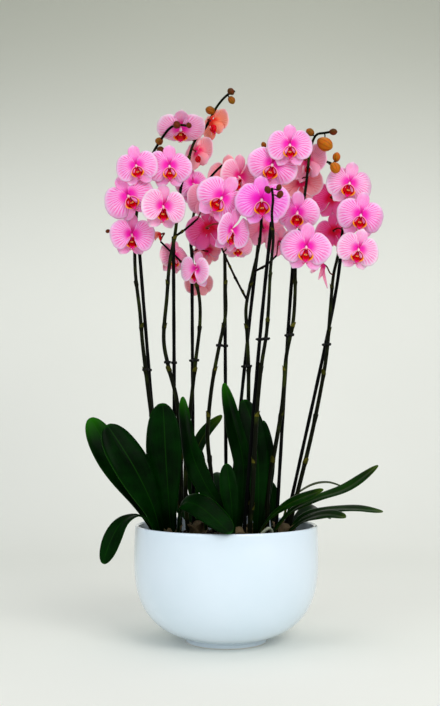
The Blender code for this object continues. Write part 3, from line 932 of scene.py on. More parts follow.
STAKE = StemFinish(
    "stake_skin", (0.0008, 0.0012, 0.0012), (0.0020, 0.0028, 0.0024), (0.0018, 0.002, 0.002),
    roughness=0.5, sheen=0.04)
CLIP = StemFinish(
    "clip_skin", (0.0010, 0.0012, 0.0012), (0.0026, 0.0030, 0.0026), (0.002, 0.002, 0.002),
    roughness=0.4, sheen=0.15)
BUD = BudFinish("bud_skin")
DARK_BUD = BudFinish("bud_dark", (0.075, 0.030, 0.001), (0.16, 0.018, 0.001), (0.025, 0.002, 0.001))
ORANGE_BUD = BudFinish("bud_orange", (0.40, 0.16, 0.004), (0.60, 0.12, 0.004), (0.16, 0.012, 0.001))
GLAZE = GlazeFinish("white_glaze_coat")
SOIL = EarthyFinish("soil", (0.012, 0.008, 0.005), (0.050, 0.032, 0.018), (0.10, 0.07, 0.04))
BARK = EarthyFinish(
    "bark", (0.010, 0.005, 0.003), (0.036, 0.019, 0.010), (0.072, 0.046, 0.026), scale=90.0)
MOSS = EarthyFinish(
    "moss", (0.020, 0.026, 0.008), (0.075, 0.080, 0.028), (0.14, 0.12, 0.05), scale=160.0)
ROOT = EarthyFinish(
    "root_skin", (0.20, 0.22, 0.16), (0.40, 0.41, 0.33), (0.10, 0.16, 0.06), scale=120.0,
    relief=0.0004, roughness=0.7)
SHEATH = EarthyFinish(
    "old_sheath", (0.060, 0.038, 0.018), (0.17, 0.12, 0.060), (0.05, 0.07, 0.02), scale=70.0,
    relief=0.0004, roughness=0.7)
STUDIO = StudioFinish("studio_paper")


# ---------------------------------------------------------------- the bowl


@dataclass
class Bowl:
    """The glazed bowl: a superellipse below its waist, nearly straight above it, on a low foot."""

    wall: float = 7.0
    waist: float = 150.0
    underside: float = 3.0
    inside_bottom: float = 14.0
    power: float = 2.8
    pull_in: float = 1.2
    foot_radius: float = 70.0
    foot_height: float = 8.0
    outer_start: float = 6.5
    inner_start: float = 4.0
    sides: int = 144
    radius: float = field(init=False)
    height: float = field(init=False)

    def __post_init__(self) -> None:
        """Takes the bowl's size from the frame."""
        low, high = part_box("pot")
        self.radius = (high.x - low.x) / 2 / MM
        self.height = high.z / MM

    def radius_at(self, z: float, radius: float, bottom: float) -> float:
        """Finds how wide one face of the wall is, in millimetres.

        Args:
            z: The height.
            radius: The face's widest radius.
            bottom: The face's lowest point.

        Returns:
            The radius at the height.
        """
        if z >= self.waist:
            return radius - self.pull_in * ((z - self.waist) / (self.height - self.waist)) ** 2
        depth = (self.waist - z) / (self.waist - bottom)
        return radius * (1 - depth ** self.power) ** (1 / self.power)

    def wall_line(
        self, radius: float, bottom: float, start: float, steps: int
    ) -> list[tuple[float, float]]:
        """Draws one face of the wall, with points closer together where it curves most.

        Args:
            radius: The face's widest radius.
            bottom: Its lowest point.
            start: The height of the first point.
            steps: How many steps the line has.

        Returns:
            Pairs of radius and height, in millimetres.
        """
        top = self.height - self.wall / 2
        heights = [blend(start, top, (k / steps) ** 1.8) for k in range(steps + 1)]
        return [(self.radius_at(z, radius, bottom), z) for z in heights]

    def build(self) -> bpy.types.Object:
        """Turns the bowl's profile round its axis.

        Returns:
            The bowl.
        """
        low, floor = self.underside, self.inside_bottom
        outer = self.wall_line(self.radius, low, low + self.outer_start, 34)
        inner = self.wall_line(self.radius - self.wall, floor, floor + self.inner_start, 26)
        lip_middle, lip_z = outer[-1][0] - self.wall / 2, outer[-1][1]
        lip = [
            (lip_middle + self.wall / 2 * math.cos(a), lip_z + self.wall / 2 * math.sin(a))
            for a in (math.pi * k / 12 for k in range(1, 12))
        ]
        edge = self.foot_radius
        foot = [
            (2, 0), (edge - 7, 0), (edge - 1.2, 0), (edge - 0.3, 0.4), (edge, 1.4),
            (edge - 0.4, self.foot_height - 2.4), (edge + 0.4, self.foot_height - 0.8),
        ]
        profile = [*foot, *outer, *lip, *reversed(inner), (2, self.inside_bottom)]
        draft = Draft()
        turns = angles(self.sides)
        draft.grid(
            [[Vector((r * math.cos(a), r * math.sin(a), z)) * MM for a in turns] for r, z in profile],
            wrap=True, caps=True)
        return draft.build("bowl", [GLAZE], "white_glaze", replaces=["pot"])


# ---------------------------------------------------------------- what the plants grow in


@dataclass
class Medium:
    """Soil, bark chips, moss and aerial roots, filling the bowl below its rim."""

    radius: float = 150.4
    edge_z: float = 168.0
    crown_rise: float = 7.0
    skirt_z: float = 120.0
    sides: int = 96
    rings: int = 30
    chip_count: int = 330
    moss_count: int = 60
    seed: int = 11

    def height_at(self, x: float, y: float) -> float:
        """Finds the top of the soil, in millimetres.

        Args:
            x: The place, to the right.
            y: The place, to the back.

        Returns:
            The height there.
        """
        share = min(1.0, math.hypot(x, y) / self.radius)
        bumps = noise.noise(Vector((x, y, 0)) * 0.06) * 2.2 + noise.noise(Vector((x, y, 5)) * 0.25)
        return self.edge_z + self.crown_rise * (1 - share ** 3) + bumps

    def soil(self) -> bpy.types.Object:
        """Builds the uneven top of the soil, with a skirt down the inside of the bowl.

        Returns:
            The soil.
        """
        draft = Draft()
        r = self.radius
        turns = angles(self.sides)
        rows = [[Vector((r * math.cos(a), r * math.sin(a), self.skirt_z)) * MM for a in turns]]
        for step in range(self.rings):
            reach = r * (1 - step / self.rings)
            row = []
            for a in turns:
                x, y = reach * math.cos(a), reach * math.sin(a)
                row.append(Vector((x, y, self.height_at(x, y))) * MM)
            rows.append(row)
        draft.grid(rows, wrap=True, caps=True)
        return draft.build("soil", [SOIL], "orchid_bark", replaces=["growing_medium"])

    def scatter(self, luck: random.Random, reach: float) -> tuple[float, float]:
        """Picks a random place on the soil, in millimetres.

        Args:
            luck: The random numbers.
            reach: How far from the middle the place may be.

        Returns:
            The place, to the right and to the back.
        """
        distance, turn = reach * math.sqrt(luck.random()), luck.uniform(0, math.tau)
        return distance * math.cos(turn), distance * math.sin(turn)

    def chip(self, draft: Draft, luck: random.Random) -> None:
        """Adds one split piece of bark, lying at a slant.

        Args:
            draft: The piece to add it to.
            luck: The random numbers.
        """
        x, y = self.scatter(luck, self.radius - 9)
        length, width, thick = luck.uniform(6, 15), luck.uniform(4, 8), luck.uniform(2, 4.5)
        turn = Matrix.Rotation(luck.uniform(0, math.tau), 3, "Z")
        pitched = Matrix.Rotation(luck.gauss(0, 0.35), 3, "X")
        tilt = pitched @ Matrix.Rotation(luck.gauss(0, 0.3), 3, "Y")
        centre = Vector((x, y, self.height_at(x, y) + thick * luck.uniform(0.2, 1.1)))
        corners = [math.tau * (k + luck.uniform(-0.25, 0.25)) / 7 for k in range(7)]
        rows = []
        for level, size in ((-0.5, 0.78), (-0.3, 1.0), (0.25, 0.96), (0.5, 0.66)):
            ring = []
            for a in corners:
                rough = luck.uniform(0.85, 1.1)
                flat = Vector((length / 2 * math.cos(a), width / 2 * math.sin(a), 0)) * size * rough
                ring.append((centre + turn @ tilt @ (flat + Vector((0, 0, level * thick)))) * MM)
            rows.append(ring)
        draft.grid(rows, wrap=True, caps=True)

    def chips(self) -> None:
        """Builds the bark chips, in three batches."""
        luck = random.Random(self.seed)
        for batch in range(3):
            draft = Draft()
            for _ in range(self.chip_count // 3):
                self.chip(draft, luck)
            draft.build(f"bark_chips_{batch + 1}", [BARK], "orchid_bark")

    def moss(self) -> None:
        """Tufts of moss, each a few curled strands."""
        luck = random.Random(self.seed + 1)
        draft = Draft()
        for _ in range(self.moss_count):
            x, y = self.scatter(luck, self.radius - 14)
            foot = Vector((x, y, self.height_at(x, y))) * MM
            for _ in range(5):
                lean = Vector((luck.gauss(0, 5), luck.gauss(0, 5), luck.uniform(3, 8))) * MM
                curl = Vector((luck.gauss(0, 4), luck.gauss(0, 4), luck.uniform(-3, 2))) * MM
                path = even_path([foot, foot + lean * 0.6, foot + lean + curl], 6)
                draft.tube(path, [0.7 * MM * (1 - 0.12 * k) for k in range(6)], sides=5)
        draft.build("moss", [MOSS], "orchid_bark")

    def roots(self) -> None:
        """Silvery aerial roots that loop over the bark."""
        routes = (
            ((46, -86, 168), (58, -100, 192), (70, -96, 200), (76, -82, 188), (80, -70, 168)),
            ((-70, -60, 170), (-92, -88, 184), (-112, -84, 182), (-126, -60, 166)),
            ((-120, 30, 170), (-132, 52, 186), (-120, 76, 184), (-100, 88, 166)),
            ((-60, 90, 170), (-40, 118, 184), (-12, 124, 180), (10, 112, 166)),
            ((70, 60, 170), (98, 82, 188), (112, 70, 184), (124, 46, 168)),
            ((104, -40, 170), (122, -62, 184), (118, -80, 180), (100, -94, 166)),
            ((-20, -84, 168), (-34, -112, 182), (-18, -128, 178), (4, -126, 164)),
        )
        for number, route in enumerate(routes, start=1):
            draft = Draft()
            path = even_path(in_metres(route), 26)
            radii = [2.5 * MM * (1 + 0.10 * math.sin(k * 1.7)) for k in range(26)]
            draft.tube(path, radii, sides=12)
            draft.build(f"aerial_root_{number}", [ROOT], "orchid_bark")

    def build(self) -> None:
        """Builds everything that the plants grow in."""
        self.soil()
        self.chips()
        self.moss()
        self.roots()


@dataclass
class Crown:
    """A plant's foot: a short stock wrapped in the dry sheaths of its old leaves."""

    number: int
    place: tuple[float, float]
    radius: float = 13.0
    foot_z: float = 166.0
    top_z: float = 198.0
    sheath_count: int = 5

    def build(self) -> None:
        """Builds the stock and its sheaths."""
        luck = random.Random(self.number)
        x, y = self.place
        foot, top = Vector((x, y, self.foot_z)) * MM, Vector((x, y, self.top_z)) * MM
        draft = Draft()
        r = self.radius * MM
        draft.pod(foot, top, ((0, r * 0.9), (0.3, r), (0.7, r * 0.85), (0.95, r * 0.5), (1, r * 0.2)), 5)
        for k in range(self.sheath_count):
            turn = math.tau * k / self.sheath_count + luck.uniform(-0.4, 0.4)
            reach = luck.uniform(0.7, 1.05)
            rows = []
            for step in range(9):
                share = step / 8
                spread = 1.25 * (1 - share ** 2.2) + 0.05
                out = r * (1.02 + 0.75 * share ** 2)
                z = blend(self.foot_z, self.foot_z + 34 * reach, share) * MM
                turns = [turn + spread * (j / 6 - 0.5) * 2 for j in range(7)]
                rows.append([
                    Vector((x * MM + out * math.cos(a), y * MM + out * math.sin(a), z)) for a in turns
                ])
            draft.grid(rows)
        draft.build(f"crown_{self.number}", [SHEATH], "orchid_bark", thickness=0.6 * MM)


# ---------------------------------------------------------------- leaves


@dataclass
class Leaf:
    """A strap leaf: folded at its foot, widest past its middle, with a rounded tip."""

    number: int
    width: float
    facing: Place
    path: Sequence[Place]
    tone: LeafTone = LeafTone.DEEP
    tip_facing: Place | None = None
    thickness: float = 2.6
    samples: int = 400
    steps: int = 34
    columns: int = 13

    def spread(self, share: float) -> float:
        """Finds how wide the leaf is.

        Args:
            share: How far along the leaf.

        Returns:
            The width there, as a share of the greatest one.
        """
        swell = blend(0.30, 1.0, ease((share + 0.02) / 0.68))
        return swell * math.sqrt(max(0.0, 1 - (max(0.0, share - 0.62) / 0.38) ** 2.6))

    def face_at(self, share: float) -> Vector:
        """Finds which way the blade's upper face looks, as the leaf may twist.

        Args:
            share: How far along the leaf.

        Returns:
            The direction there.
        """
        start = Vector(self.facing)
        if not self.tip_facing:
            return start
        return start.lerp(Vector(self.tip_facing), ease(share * 1.8 - 0.5))

    def blade_row(self, point: Vector, along: Vector, share: float, wave: float) -> list[Vector]:
        """One closed section of the blade: across its upper face, and back across its lower one.

        Args:
            point: The midrib's place.
            along: The midrib's direction.
            share: How far along the leaf the section is.
            wave: Where the edge's slow wave starts.

        Returns:
            The section's points.
        """
        side = along.cross(self.face_at(share)).normalized()
        up = side.cross(along).normalized()
        half = max(0.35, 0.5 * self.width * self.spread(share)) * MM
        fold = blend(0.55, 0.19, ease(share / 0.45))
        upper, lower = [], []
        for k in range(self.columns):
            t = 2 * k / (self.columns - 1) - 1
            ripple = 0.05 * math.sin(math.tau * 1.7 * share + wave + (1.3 if t > 0 else 0)) * t * t
            lift = half * (fold * (math.sqrt(t * t + 0.012) - 0.11) - 0.10 * t ** 4 + ripple)
            body = self.thickness * MM * (1 - 0.72 * abs(t) ** 3) * blend(1.1, 0.5, share) / 2
            place = point + side * half * t + up * lift
            upper.append(place + up * body)
            lower.append(place - up * body)
        return [*upper, *reversed(lower)]

    def build(self) -> bpy.types.Object:
        """Builds the leaf along its midrib.

        Returns:
            The leaf.
        """
        luck = random.Random(self.number * 7)
        path = even_path(in_metres(self.path), self.samples)
        ways = directions(path)
        wave = luck.uniform(0, math.tau)
        rows = []
        for k in range(self.steps):
            share = 1 - (1 - k / (self.steps - 1)) ** 1.7
            place = round(share * (len(path) - 1))
            rows.append(self.blade_row(path[place], ways[place], share, wave))
        draft = Draft()
        draft.grid(rows, wrap=True, caps=True)
        node = f"leaf_{self.number:02d}"
        return draft.build(f"{node}_blade", [self.tone.value], "leaf_green", replaces=[node])


# ---------------------------------------------------------------- spikes and stakes


@dataclass
class Spike:
    """A flower stem with its side branches, node rings and bracts."""

    number: int
    path: Sequence[Place]
    branches: Sequence[Sequence[Place]] = ()
    foot_radius: float = 3.9
    tip_radius: float = 2.1
    branch_radius: float = 2.1
    node_gap: float = 78.0
    sides: int = 12

    def holds(self) -> list[Vector]:
        """Finds where flowers and buds can be carried.

        Returns:
            Places along the stem and its branches, in metres.
        """
        found = smooth_path(in_metres(self.path), 8)
        for branch in self.branches:
            found += smooth_path(in_metres(branch), 8)
        return found

    def add_bract(
        self, draft: Draft, point: Vector, along: Vector, radius: float, length: float, turn: float
    ) -> None:
        """Adds a pointed bract that clasps the stem.

        Args:
            draft: The piece to add it to.
            point: The stem's place.
            along: The stem's direction there.
            radius: The stem's radius there.
            length: How long the bract is, in metres.
            turn: Which way round the stem it sits, in radians.
        """
        side = along.orthogonal().normalized()
        up = along.cross(side)
        rows = []
        for step in range(7):
            share = step / 6
            spread = 1.9 * (1 - share ** 1.6) + 0.06
            reach = radius + (0.25 + 1.3 * share ** 2) * MM
            angles = [turn + spread * (2 * j / 6 - 1) for j in range(7)]
            centre = point + along * length * share
            rows.append([centre + reach * (math.cos(a) * side + math.sin(a) * up) for a in angles])
        draft.grid(rows, slot=1)

    def add_stem(
        self, draft: Draft, places: Sequence[Place], foot: float, tip: float, gap: float
    ) -> None:
        """Adds a stem or branch with a ring and a bract at each of its nodes.

        Args:
            draft: The piece to add it to.
            places: The stem's path, in millimetres.
            foot: Its radius at the foot, in millimetres.
            tip: Its radius at the tip, in millimetres.
            gap: How far apart its nodes are, in millimetres.
        """
        rough = smooth_path(in_metres(places), 6)
        length = sum((b - a).length for a, b in zip(rough, rough[1:]))
        count = max(12, int(length / (4.5 * MM)))
        path = even_path(in_metres(places), count)
        step = length / (count - 1)
        nodes = [gap * MM * (k + 0.6) for k in range(int(length / MM / gap))]
        radii = []
        for k in range(count):
            bulge = sum(math.exp(-(((k * step - node) / (3.5 * MM)) ** 2)) for node in nodes)
            radii.append(blend(foot, tip, (k / (count - 1)) ** 1.4) * MM * (1 + 0.22 * bulge))
        draft.tube(path, radii, self.sides)
        ways = directions(path)
        for order, node in enumerate(nodes):
            k = min(count - 1, round(node / step))
            long = blend(13, 5, k / (count - 1)) * MM * min(1, gap / 60)
            self.add_bract(draft, path[k], ways[k], radii[k], long, order * 2.6 + self.number)

    def build(self) -> None:
        """Builds the stem and each of its branches."""
        draft = Draft()
        self.add_stem(draft, self.path, self.foot_radius, self.tip_radius, self.node_gap)
        node = f"flower_spike_{self.number}"
        draft.build(f"{node}_stem", [STEM, BRACT], "stem_green", replaces=[node])
        for order, branch in enumerate(self.branches, start=1):
            draft = Draft()
            self.add_stem(draft, branch, self.branch_radius, self.branch_radius * 0.8, 26.0)
            draft.build(f"{node}_branch_{order}", [TWIG, BRACT], "stem_green")


@dataclass
class Stake:
    """A support cane with a flat-cut top, and the clip that ties the stem to it."""

    number: int
    path: Sequence[Place]
    clip_z: float
    spike: Spike
    radius: float = 3.1
    medium_z: float = 200.0

    def line(self) -> list[Vector]:
        """Draws the cane's middle line: straight in the medium, then bowed a little.

        Returns:
            The line's places, in metres.
        """
        foot, middle, top = (Vector(p) for p in self.path)
        mouth = foot.lerp(middle, (self.medium_z - foot.z) / (middle.z - foot.z))
        bow = middle.lerp(top, 0.5) + (middle - foot.lerp(top, 0.5)) * 0.3
        return [p * MM for p in (foot, mouth, middle, bow, top)]

    @staticmethod
    def at_height(path: Sequence[Vector], z: float) -> Vector:
        """Finds a point of a rising path.

        Args:
            path: The path's points, in metres.
            z: The height to look for.

        Returns:
            The point at that height, or the path's end.
        """
        for start, end in zip(path, path[1:]):
            if start.z <= z <= end.z:
                return start.lerp(end, (z - start.z) / (end.z - start.z))
        return path[-1].copy()

    def cane(self) -> bpy.types.Object:
        """Builds the cane, cut square at its top with a worn edge.

        Returns:
            The cane.
        """
        path = even_path(self.line(), 60)
        end = (path[-1] - path[-2]).normalized()
        path = [*path[:-1], path[-1] - end * 0.5 * MM, path[-1]]
        radii = [self.radius * MM * (1 + 0.04 * math.sin(k * 0.9)) for k in range(60)]
        draft = Draft()
        draft.tube(path, [*radii, self.radius * 0.8 * MM], 14)
        node = f"support_stake_{self.number}"
        return draft.build(f"{node}_cane", [STAKE], "stake_dark", replaces=[node])

    def clip(self) -> bpy.types.Object:
        """Builds a snap clip: a collar round the cane, one round the stem, and two finger tabs.

        Returns:
            The clip.
        """
        z = self.clip_z * MM
        cane = self.at_height(self.line(), z)
        stem = self.at_height(self.spike.holds(), z)
        across = Vector((stem.x - cane.x, stem.y - cane.y, 0))
        across = across.normalized() if across.length > 1e-6 else Vector((1, 0, 0))
        draft = Draft()
        for centre, reach in ((cane, self.radius + 1.0), (stem, self.spike.foot_radius + 1.0)):
            turns = [math.tau * k / 20 for k in range(21)]
            middle = centre.copy()
            middle.z = z
            ring = [middle + Vector((math.cos(a), math.sin(a), 0)) * reach * MM for a in turns]
            draft.grid([
                [p + Vector((0, 0, dz)) * MM + (p - middle).normalized() * dr * MM for p in ring]
                for dz, dr in ((-2.2, 0), (-2.2, 0.9), (0, 1.3), (2.2, 0.9), (2.2, 0), (-2.2, 0))
            ])
        for sign in (-1, 1):
            start = (cane + stem) / 2 + across * sign * ((stem - cane).length / 2 + 3.5 * MM)
            start.z = z
            reach = Vector((sign * 1.0, -0.25, 0.12)) * 4.5 * MM
            path = even_path([start, start + reach * 0.5, start + reach], 7)
            draft.tube(path, [r * MM for r in (1.9, 1.8, 1.6, 1.5, 1.7, 2.0, 1.6)], 8)
        return draft.build(f"stake_clip_{self.number}", [CLIP], "stake_dark")

    def build(self) -> None:
        """Builds the cane and its clip."""
        self.cane()
        self.clip()


# ---------------------------------------------------------------- flowers and buds


# How far a petal reaches from the heart: degrees above its middle line, share of the flower's width.
PETAL_REACH = (
    (-75, 0.12), (-69, 0.28), (-62, 0.38), (-53, 0.445), (-38, 0.485), (-20, 0.500), (0, 0.500),
    (24, 0.465), (46, 0.412), (61, 0.352), (70, 0.270), (75, 0.16),
)
# Each sepal: degrees from the flower's right, its length, half its width and how far its tip bends back.
SEPALS = ((90, 0.455, 0.146, -0.02), (-61, 0.495, 0.165, 0.06), (-119, 0.495, 0.165, 0.06))
TEPAL_THICKNESS = 0.7
LIP_THICKNESS = 0.8
CAD_FLOWERS = 20


def petal_reach(angle: float) -> float:
    """Finds how far a petal reaches, smoothly between the places of its table.

    Args:
        angle: Degrees above the petal's middle line.

    Returns:
        The reach, in shares of the flower's width.
    """
    for (start, low), (end, high) in zip(PETAL_REACH, PETAL_REACH[1:]):
        if angle <= end:
            k = PETAL_REACH.index((start, low))
            before = PETAL_REACH[max(0, k - 1)][1]
            after = PETAL_REACH[min(len(PETAL_REACH) - 1, k + 2)][1]
            t = (angle - start) / (end - start)
            return 0.5 * (
                2 * low + (high - before) * t + (2 * before - 5 * low + 4 * high - after) * t ** 2
                + (3 * low - before - 3 * high + after) * t ** 3
            )
    return PETAL_REACH[-1][1]


@dataclass
class Flower:
    """An open flower, carried by a pedicel from its spike.

    Its own axes are right, up and front, and the shares below are of its width. The two petals, three
    sepals, lip and column all meet at its heart. yaw turns its face to the right, pitch lifts it and
    roll leans its top to the right. cup bends the petals forward, in degrees, and fold closes it.
    """

    number: int
    spike: int
    heart_place: Place
    yaw: float
    pitch: float
    roll: float
    width: float
    tone: Tone = Tone.PINK
    back: Back = Back.DUSKY
    cup: float = 0.0
    fold: float = 0.0

    def __post_init__(self) -> None:
        """Works out the flower's axes and its own luck."""
        yaw, pitch, roll = (math.radians(a) for a in (self.yaw, self.pitch, self.roll))
        ahead = math.cos(pitch)
        front = Vector((math.sin(yaw) * ahead, -math.cos(yaw) * ahead, math.sin(pitch)))
        level = Vector((0, 0, 1)).cross(front).normalized()
        upright = front.cross(level)
        right = level * math.cos(roll) - upright * math.sin(roll)
        up = upright * math.cos(roll) + level * math.sin(roll)
        self.axes = (right, up, front)
        self.size = self.width * MM
        self.heart = metres(self.heart_place)
        self.luck = random.Random(self.number * 31 + 5)
        self.name = f"flower_{self.number:02d}"

    def at(self, x: float, y: float, z: float) -> Vector:
        """A place in the flower's own axes, in shares of its width."""
        right, up, front = self.axes
        return self.heart + (right * x + up * y + front * z) * self.size

    def folded(self, x: float, y: float, z: float) -> Vector:
        """Places a point of a petal or sepal, after the flower has closed by its fold.

        Args:
            x: To the flower's right, in shares of its width.
            y: Up, in the same shares.
            z: To its front, in the same shares.

        Returns:
            The place, in metres.
        """
        reach = math.hypot(x, y)
        if not reach or not self.fold:
            return self.at(x, y, z)
        turn = self.fold * math.radians(85) * ease(reach / 0.25)
        flat = reach * math.cos(turn) - z * math.sin(turn)
        rise = reach * math.sin(turn) + z * math.cos(turn)
        return self.at(x / reach * flat, y / reach * flat, rise)

    def petal(self, sign: int) -> list[list[Vector]]:
        """One broad petal, as rows from its claw to its margin.

        Args:
            sign: 1 for the right-hand petal and -1 for the left-hand one.

        Returns:
            The petal's rows of points, which fan out from the flower's heart.
        """
        turn, ripple = self.luck.uniform(-6, 5), self.luck.uniform(0, math.tau)
        reach = self.luck.uniform(0.96, 1.04)
        lean, bow = self.luck.uniform(-0.05, 0.04), self.luck.uniform(0.03, 0.07)
        lean += math.sin(math.radians(self.cup)) * 0.5
        narrow = math.cos(math.radians(self.cup))
        rows = []
        for step in range(15):
            s = 0.04 + 0.96 * step / 14
            row = []
            for k in range(25):
                degrees = 74 * (2 * k / 24 - 1)
                angle = math.radians(turn + degrees)
                crinkle = 1 + 0.020 * math.sin(5 * angle + ripple) * s
                crinkle += 0.006 * math.sin(17 * angle) * s ** 4
                r = reach * petal_reach(degrees) * s * crinkle
                x, y = r * math.cos(angle) * narrow + 0.012, r * math.sin(angle)
                wave = 0.022 * math.sin(3.4 * angle + ripple) * s ** 3
                wave += 0.007 * math.sin(11 * angle) * s ** 6
                z = 0.018 + bow * math.sin(math.pi * s ** 0.9) - 0.045 * s ** 2.5 + lean * s + wave
                row.append(self.folded(sign * x, y, z - 0.10 * max(0, y) ** 2))
            rows.append(row)
        return rows

    def sepal(
        self, direction: float, length: float, half_width: float, back: float
    ) -> list[list[Vector]]:
        """One sepal, as rows from the heart to its tip.

        Args:
            direction: Which way it points, in degrees from the flower's right.
            length: How long it is, in shares of the flower's width.
            half_width: Half its greatest width, in the same shares.
            back: How far its tip bends backwards, in the same shares.

        Returns:
            The sepal's rows of points.
        """
        angle = math.radians(direction + self.luck.uniform(-2.5, 2.5))
        length *= self.luck.uniform(0.96, 1.03)
        ripple = self.luck.uniform(0, math.tau)
        rows = []
        for step in range(15):
            s = step / 14
            swell = 0.40 + 0.60 * ease(s * 1.5)
            half = half_width * swell * max(0.05, 1 - s ** 6) ** 0.5
            row = []
            for k in range(11):
                t = 2 * k / 10 - 1
                r = 0.01 + length * s * (1 - 0.05 * t * t * s)
                side = half * t
                x = r * math.cos(angle) + side * math.sin(angle)
                y = r * math.sin(angle) - side * math.cos(angle)
                z = -0.012 - back * s ** 2 + 0.25 * half * t * t
                z += 0.006 * math.sin(5 * s + ripple + 2 * t)
                row.append(self.folded(x, y, z))
            rows.append(row)
        return rows

    def tepals(self) -> None:
        """Builds the petals as one piece, and the sepals behind them as another."""
        draft = Draft()
        for sign in (1, -1):
            draft.grid(self.petal(sign), flip=sign > 0)
        faces = [self.tone.value, self.back.value]
        replaces = [self.name] if self.number <= CAD_FLOWERS else []
        thickness = TEPAL_THICKNESS * MM
        draft.build(f"{self.name}_petals", faces, "petal_pink", replaces=replaces, thickness=thickness)
        draft = Draft()
        for sepal in SEPALS:
            draft.grid(self.sepal(*sepal))
        draft.build(f"{self.name}_sepals", faces, "petal_pink", thickness=thickness)

    def side_lobe(self, sign: int) -> list[list[Vector]]:
        """Half of the lip's cup, open at the front, with a rim that flares out.

        Args:
            sign: 1 for the right-hand lobe and -1 for the left-hand one.

        Returns:
            The lobe's rows of points.
        """
        rows = []
        for step in range(12):
            s = step / 11
            wall, flare = min(1.0, s / 0.7), max(0.0, s - 0.7) / 0.3
            row = []
            for k in range(15):
                degrees = blend(-86, 84, k / 14)
                angle = math.radians(degrees)
                brim = 0.014 + 0.026 * math.exp(-((degrees + 14) / 34) ** 2)
                r = 0.116 * math.sin(math.radians(5 + 85 * wall)) + brim * flare
                x, y = sign * r * math.cos(angle), -0.182 + r * math.sin(angle)
                row.append(self.at(x, y, 0.010 + 0.075 * wall ** 2.4 + 0.016 * math.sin(2.2 * flare)))
            rows.append(row)
        return rows

    def lip(self) -> None:
        """Builds the lip: two side lobes, a pointed tongue with two tendrils, and a callus."""
        draft = Draft()
        for sign in (1, -1):
            draft.grid(self.side_lobe(sign), flip=sign > 0)
        spine = ((-0.205, 0.025), (-0.240, 0.045), (-0.275, 0.080), (-0.308, 0.105), (-0.340, 0.098))
        path = smooth_path([Vector((0, y, z)) for y, z in spine], 4)
        rows = []
        for k, point in enumerate(path):
            share = k / (len(path) - 1)
            half = 0.058 * math.sin(math.pi * blend(0.28, 0.97, share)) ** 0.8 + 0.004
            rows.append([
                self.at(half * t, point.y + 0.02 * t * t, point.z + 0.5 * half * t * t)
                for t in (2 * j / 8 - 1 for j in range(9))
            ])
        draft.grid(rows, slot=1)
        finishes = [LIP, TONGUE, LIP, TONGUE]
        draft.build(f"{self.name}_lip", finishes, "petal_pink", thickness=LIP_THICKNESS * MM)
        draft = Draft()
        for sign in (1, -1):
            curl = (
                (0.006, -0.335, 0.098), (0.022, -0.358, 0.092), (0.046, -0.358, 0.072),
                (0.054, -0.338, 0.060), (0.042, -0.328, 0.056),
            )
            route = even_path([self.at(sign * x, y, z) for x, y, z in curl], 12)
            draft.tube(route, [0.45 * MM * (1 - 0.05 * k) for k in range(12)], 6)
        draft.build(f"{self.name}_tendrils", [TONGUE], "petal_pink")

    def column(self) -> None:
        """Builds the column with its cap, and the two-toothed callus below it."""
        r = self.size
        draft = Draft()
        line = ((0.0, -0.01), (-0.018, 0.03), (-0.040, 0.062), (-0.072, 0.078))
        spine = [self.at(0, y, z) for y, z in line]
        radii = [0.030, 0.029, 0.027, 0.026, 0.026, 0.028, 0.029, 0.027, 0.021, 0.010]
        draft.tube(even_path(spine, 10), [v * r for v in radii], 12)
        draft.build(f"{self.name}_column", [COLUMN], "petal_pink")
        draft = Draft()
        for sign in (1, -1):
            foot, tip = self.at(sign * 0.010, -0.165, 0.015), self.at(sign * 0.020, -0.185, 0.070)
            draft.pod(foot, tip, ((0, 0.010 * r), (0.4, 0.016 * r), (0.8, 0.017 * r), (1, 0.008 * r)))
        draft.build(f"{self.name}_callus", [CALLUS], "petal_pink")

    def pedicel(self, holds: Sequence[Vector]) -> None:
        """Builds the flower's stalk, from the nearest place on its spike to its back.

        Args:
            holds: The spike's places that can carry it.
        """
        hold = min(holds, key=lambda p: (p - self.heart).length)
        back = self.at(0, -0.01, -0.02)
        away = (hold - back).length
        behind = back - self.axes[2] * max(0.3 * away, 0.006)
        lift = Vector((0, 0, 0.12 * away))
        path = even_path([hold, hold.lerp(behind, 0.55) + lift, behind, back], 20)
        draft = Draft()
        draft.tube(path, [blend(1.15, 1.6, k / 19) * MM for k in range(20)], 9)
        draft.build(f"{self.name}_pedicel", [PEDICEL], "stem_green")

    def build(self, holds: Sequence[Vector]) -> None:
        """Builds the whole flower.

        Args:
            holds: The spike's places that can carry it.
        """
        self.tepals()
        self.lip()
        self.column()
        self.pedicel(holds)


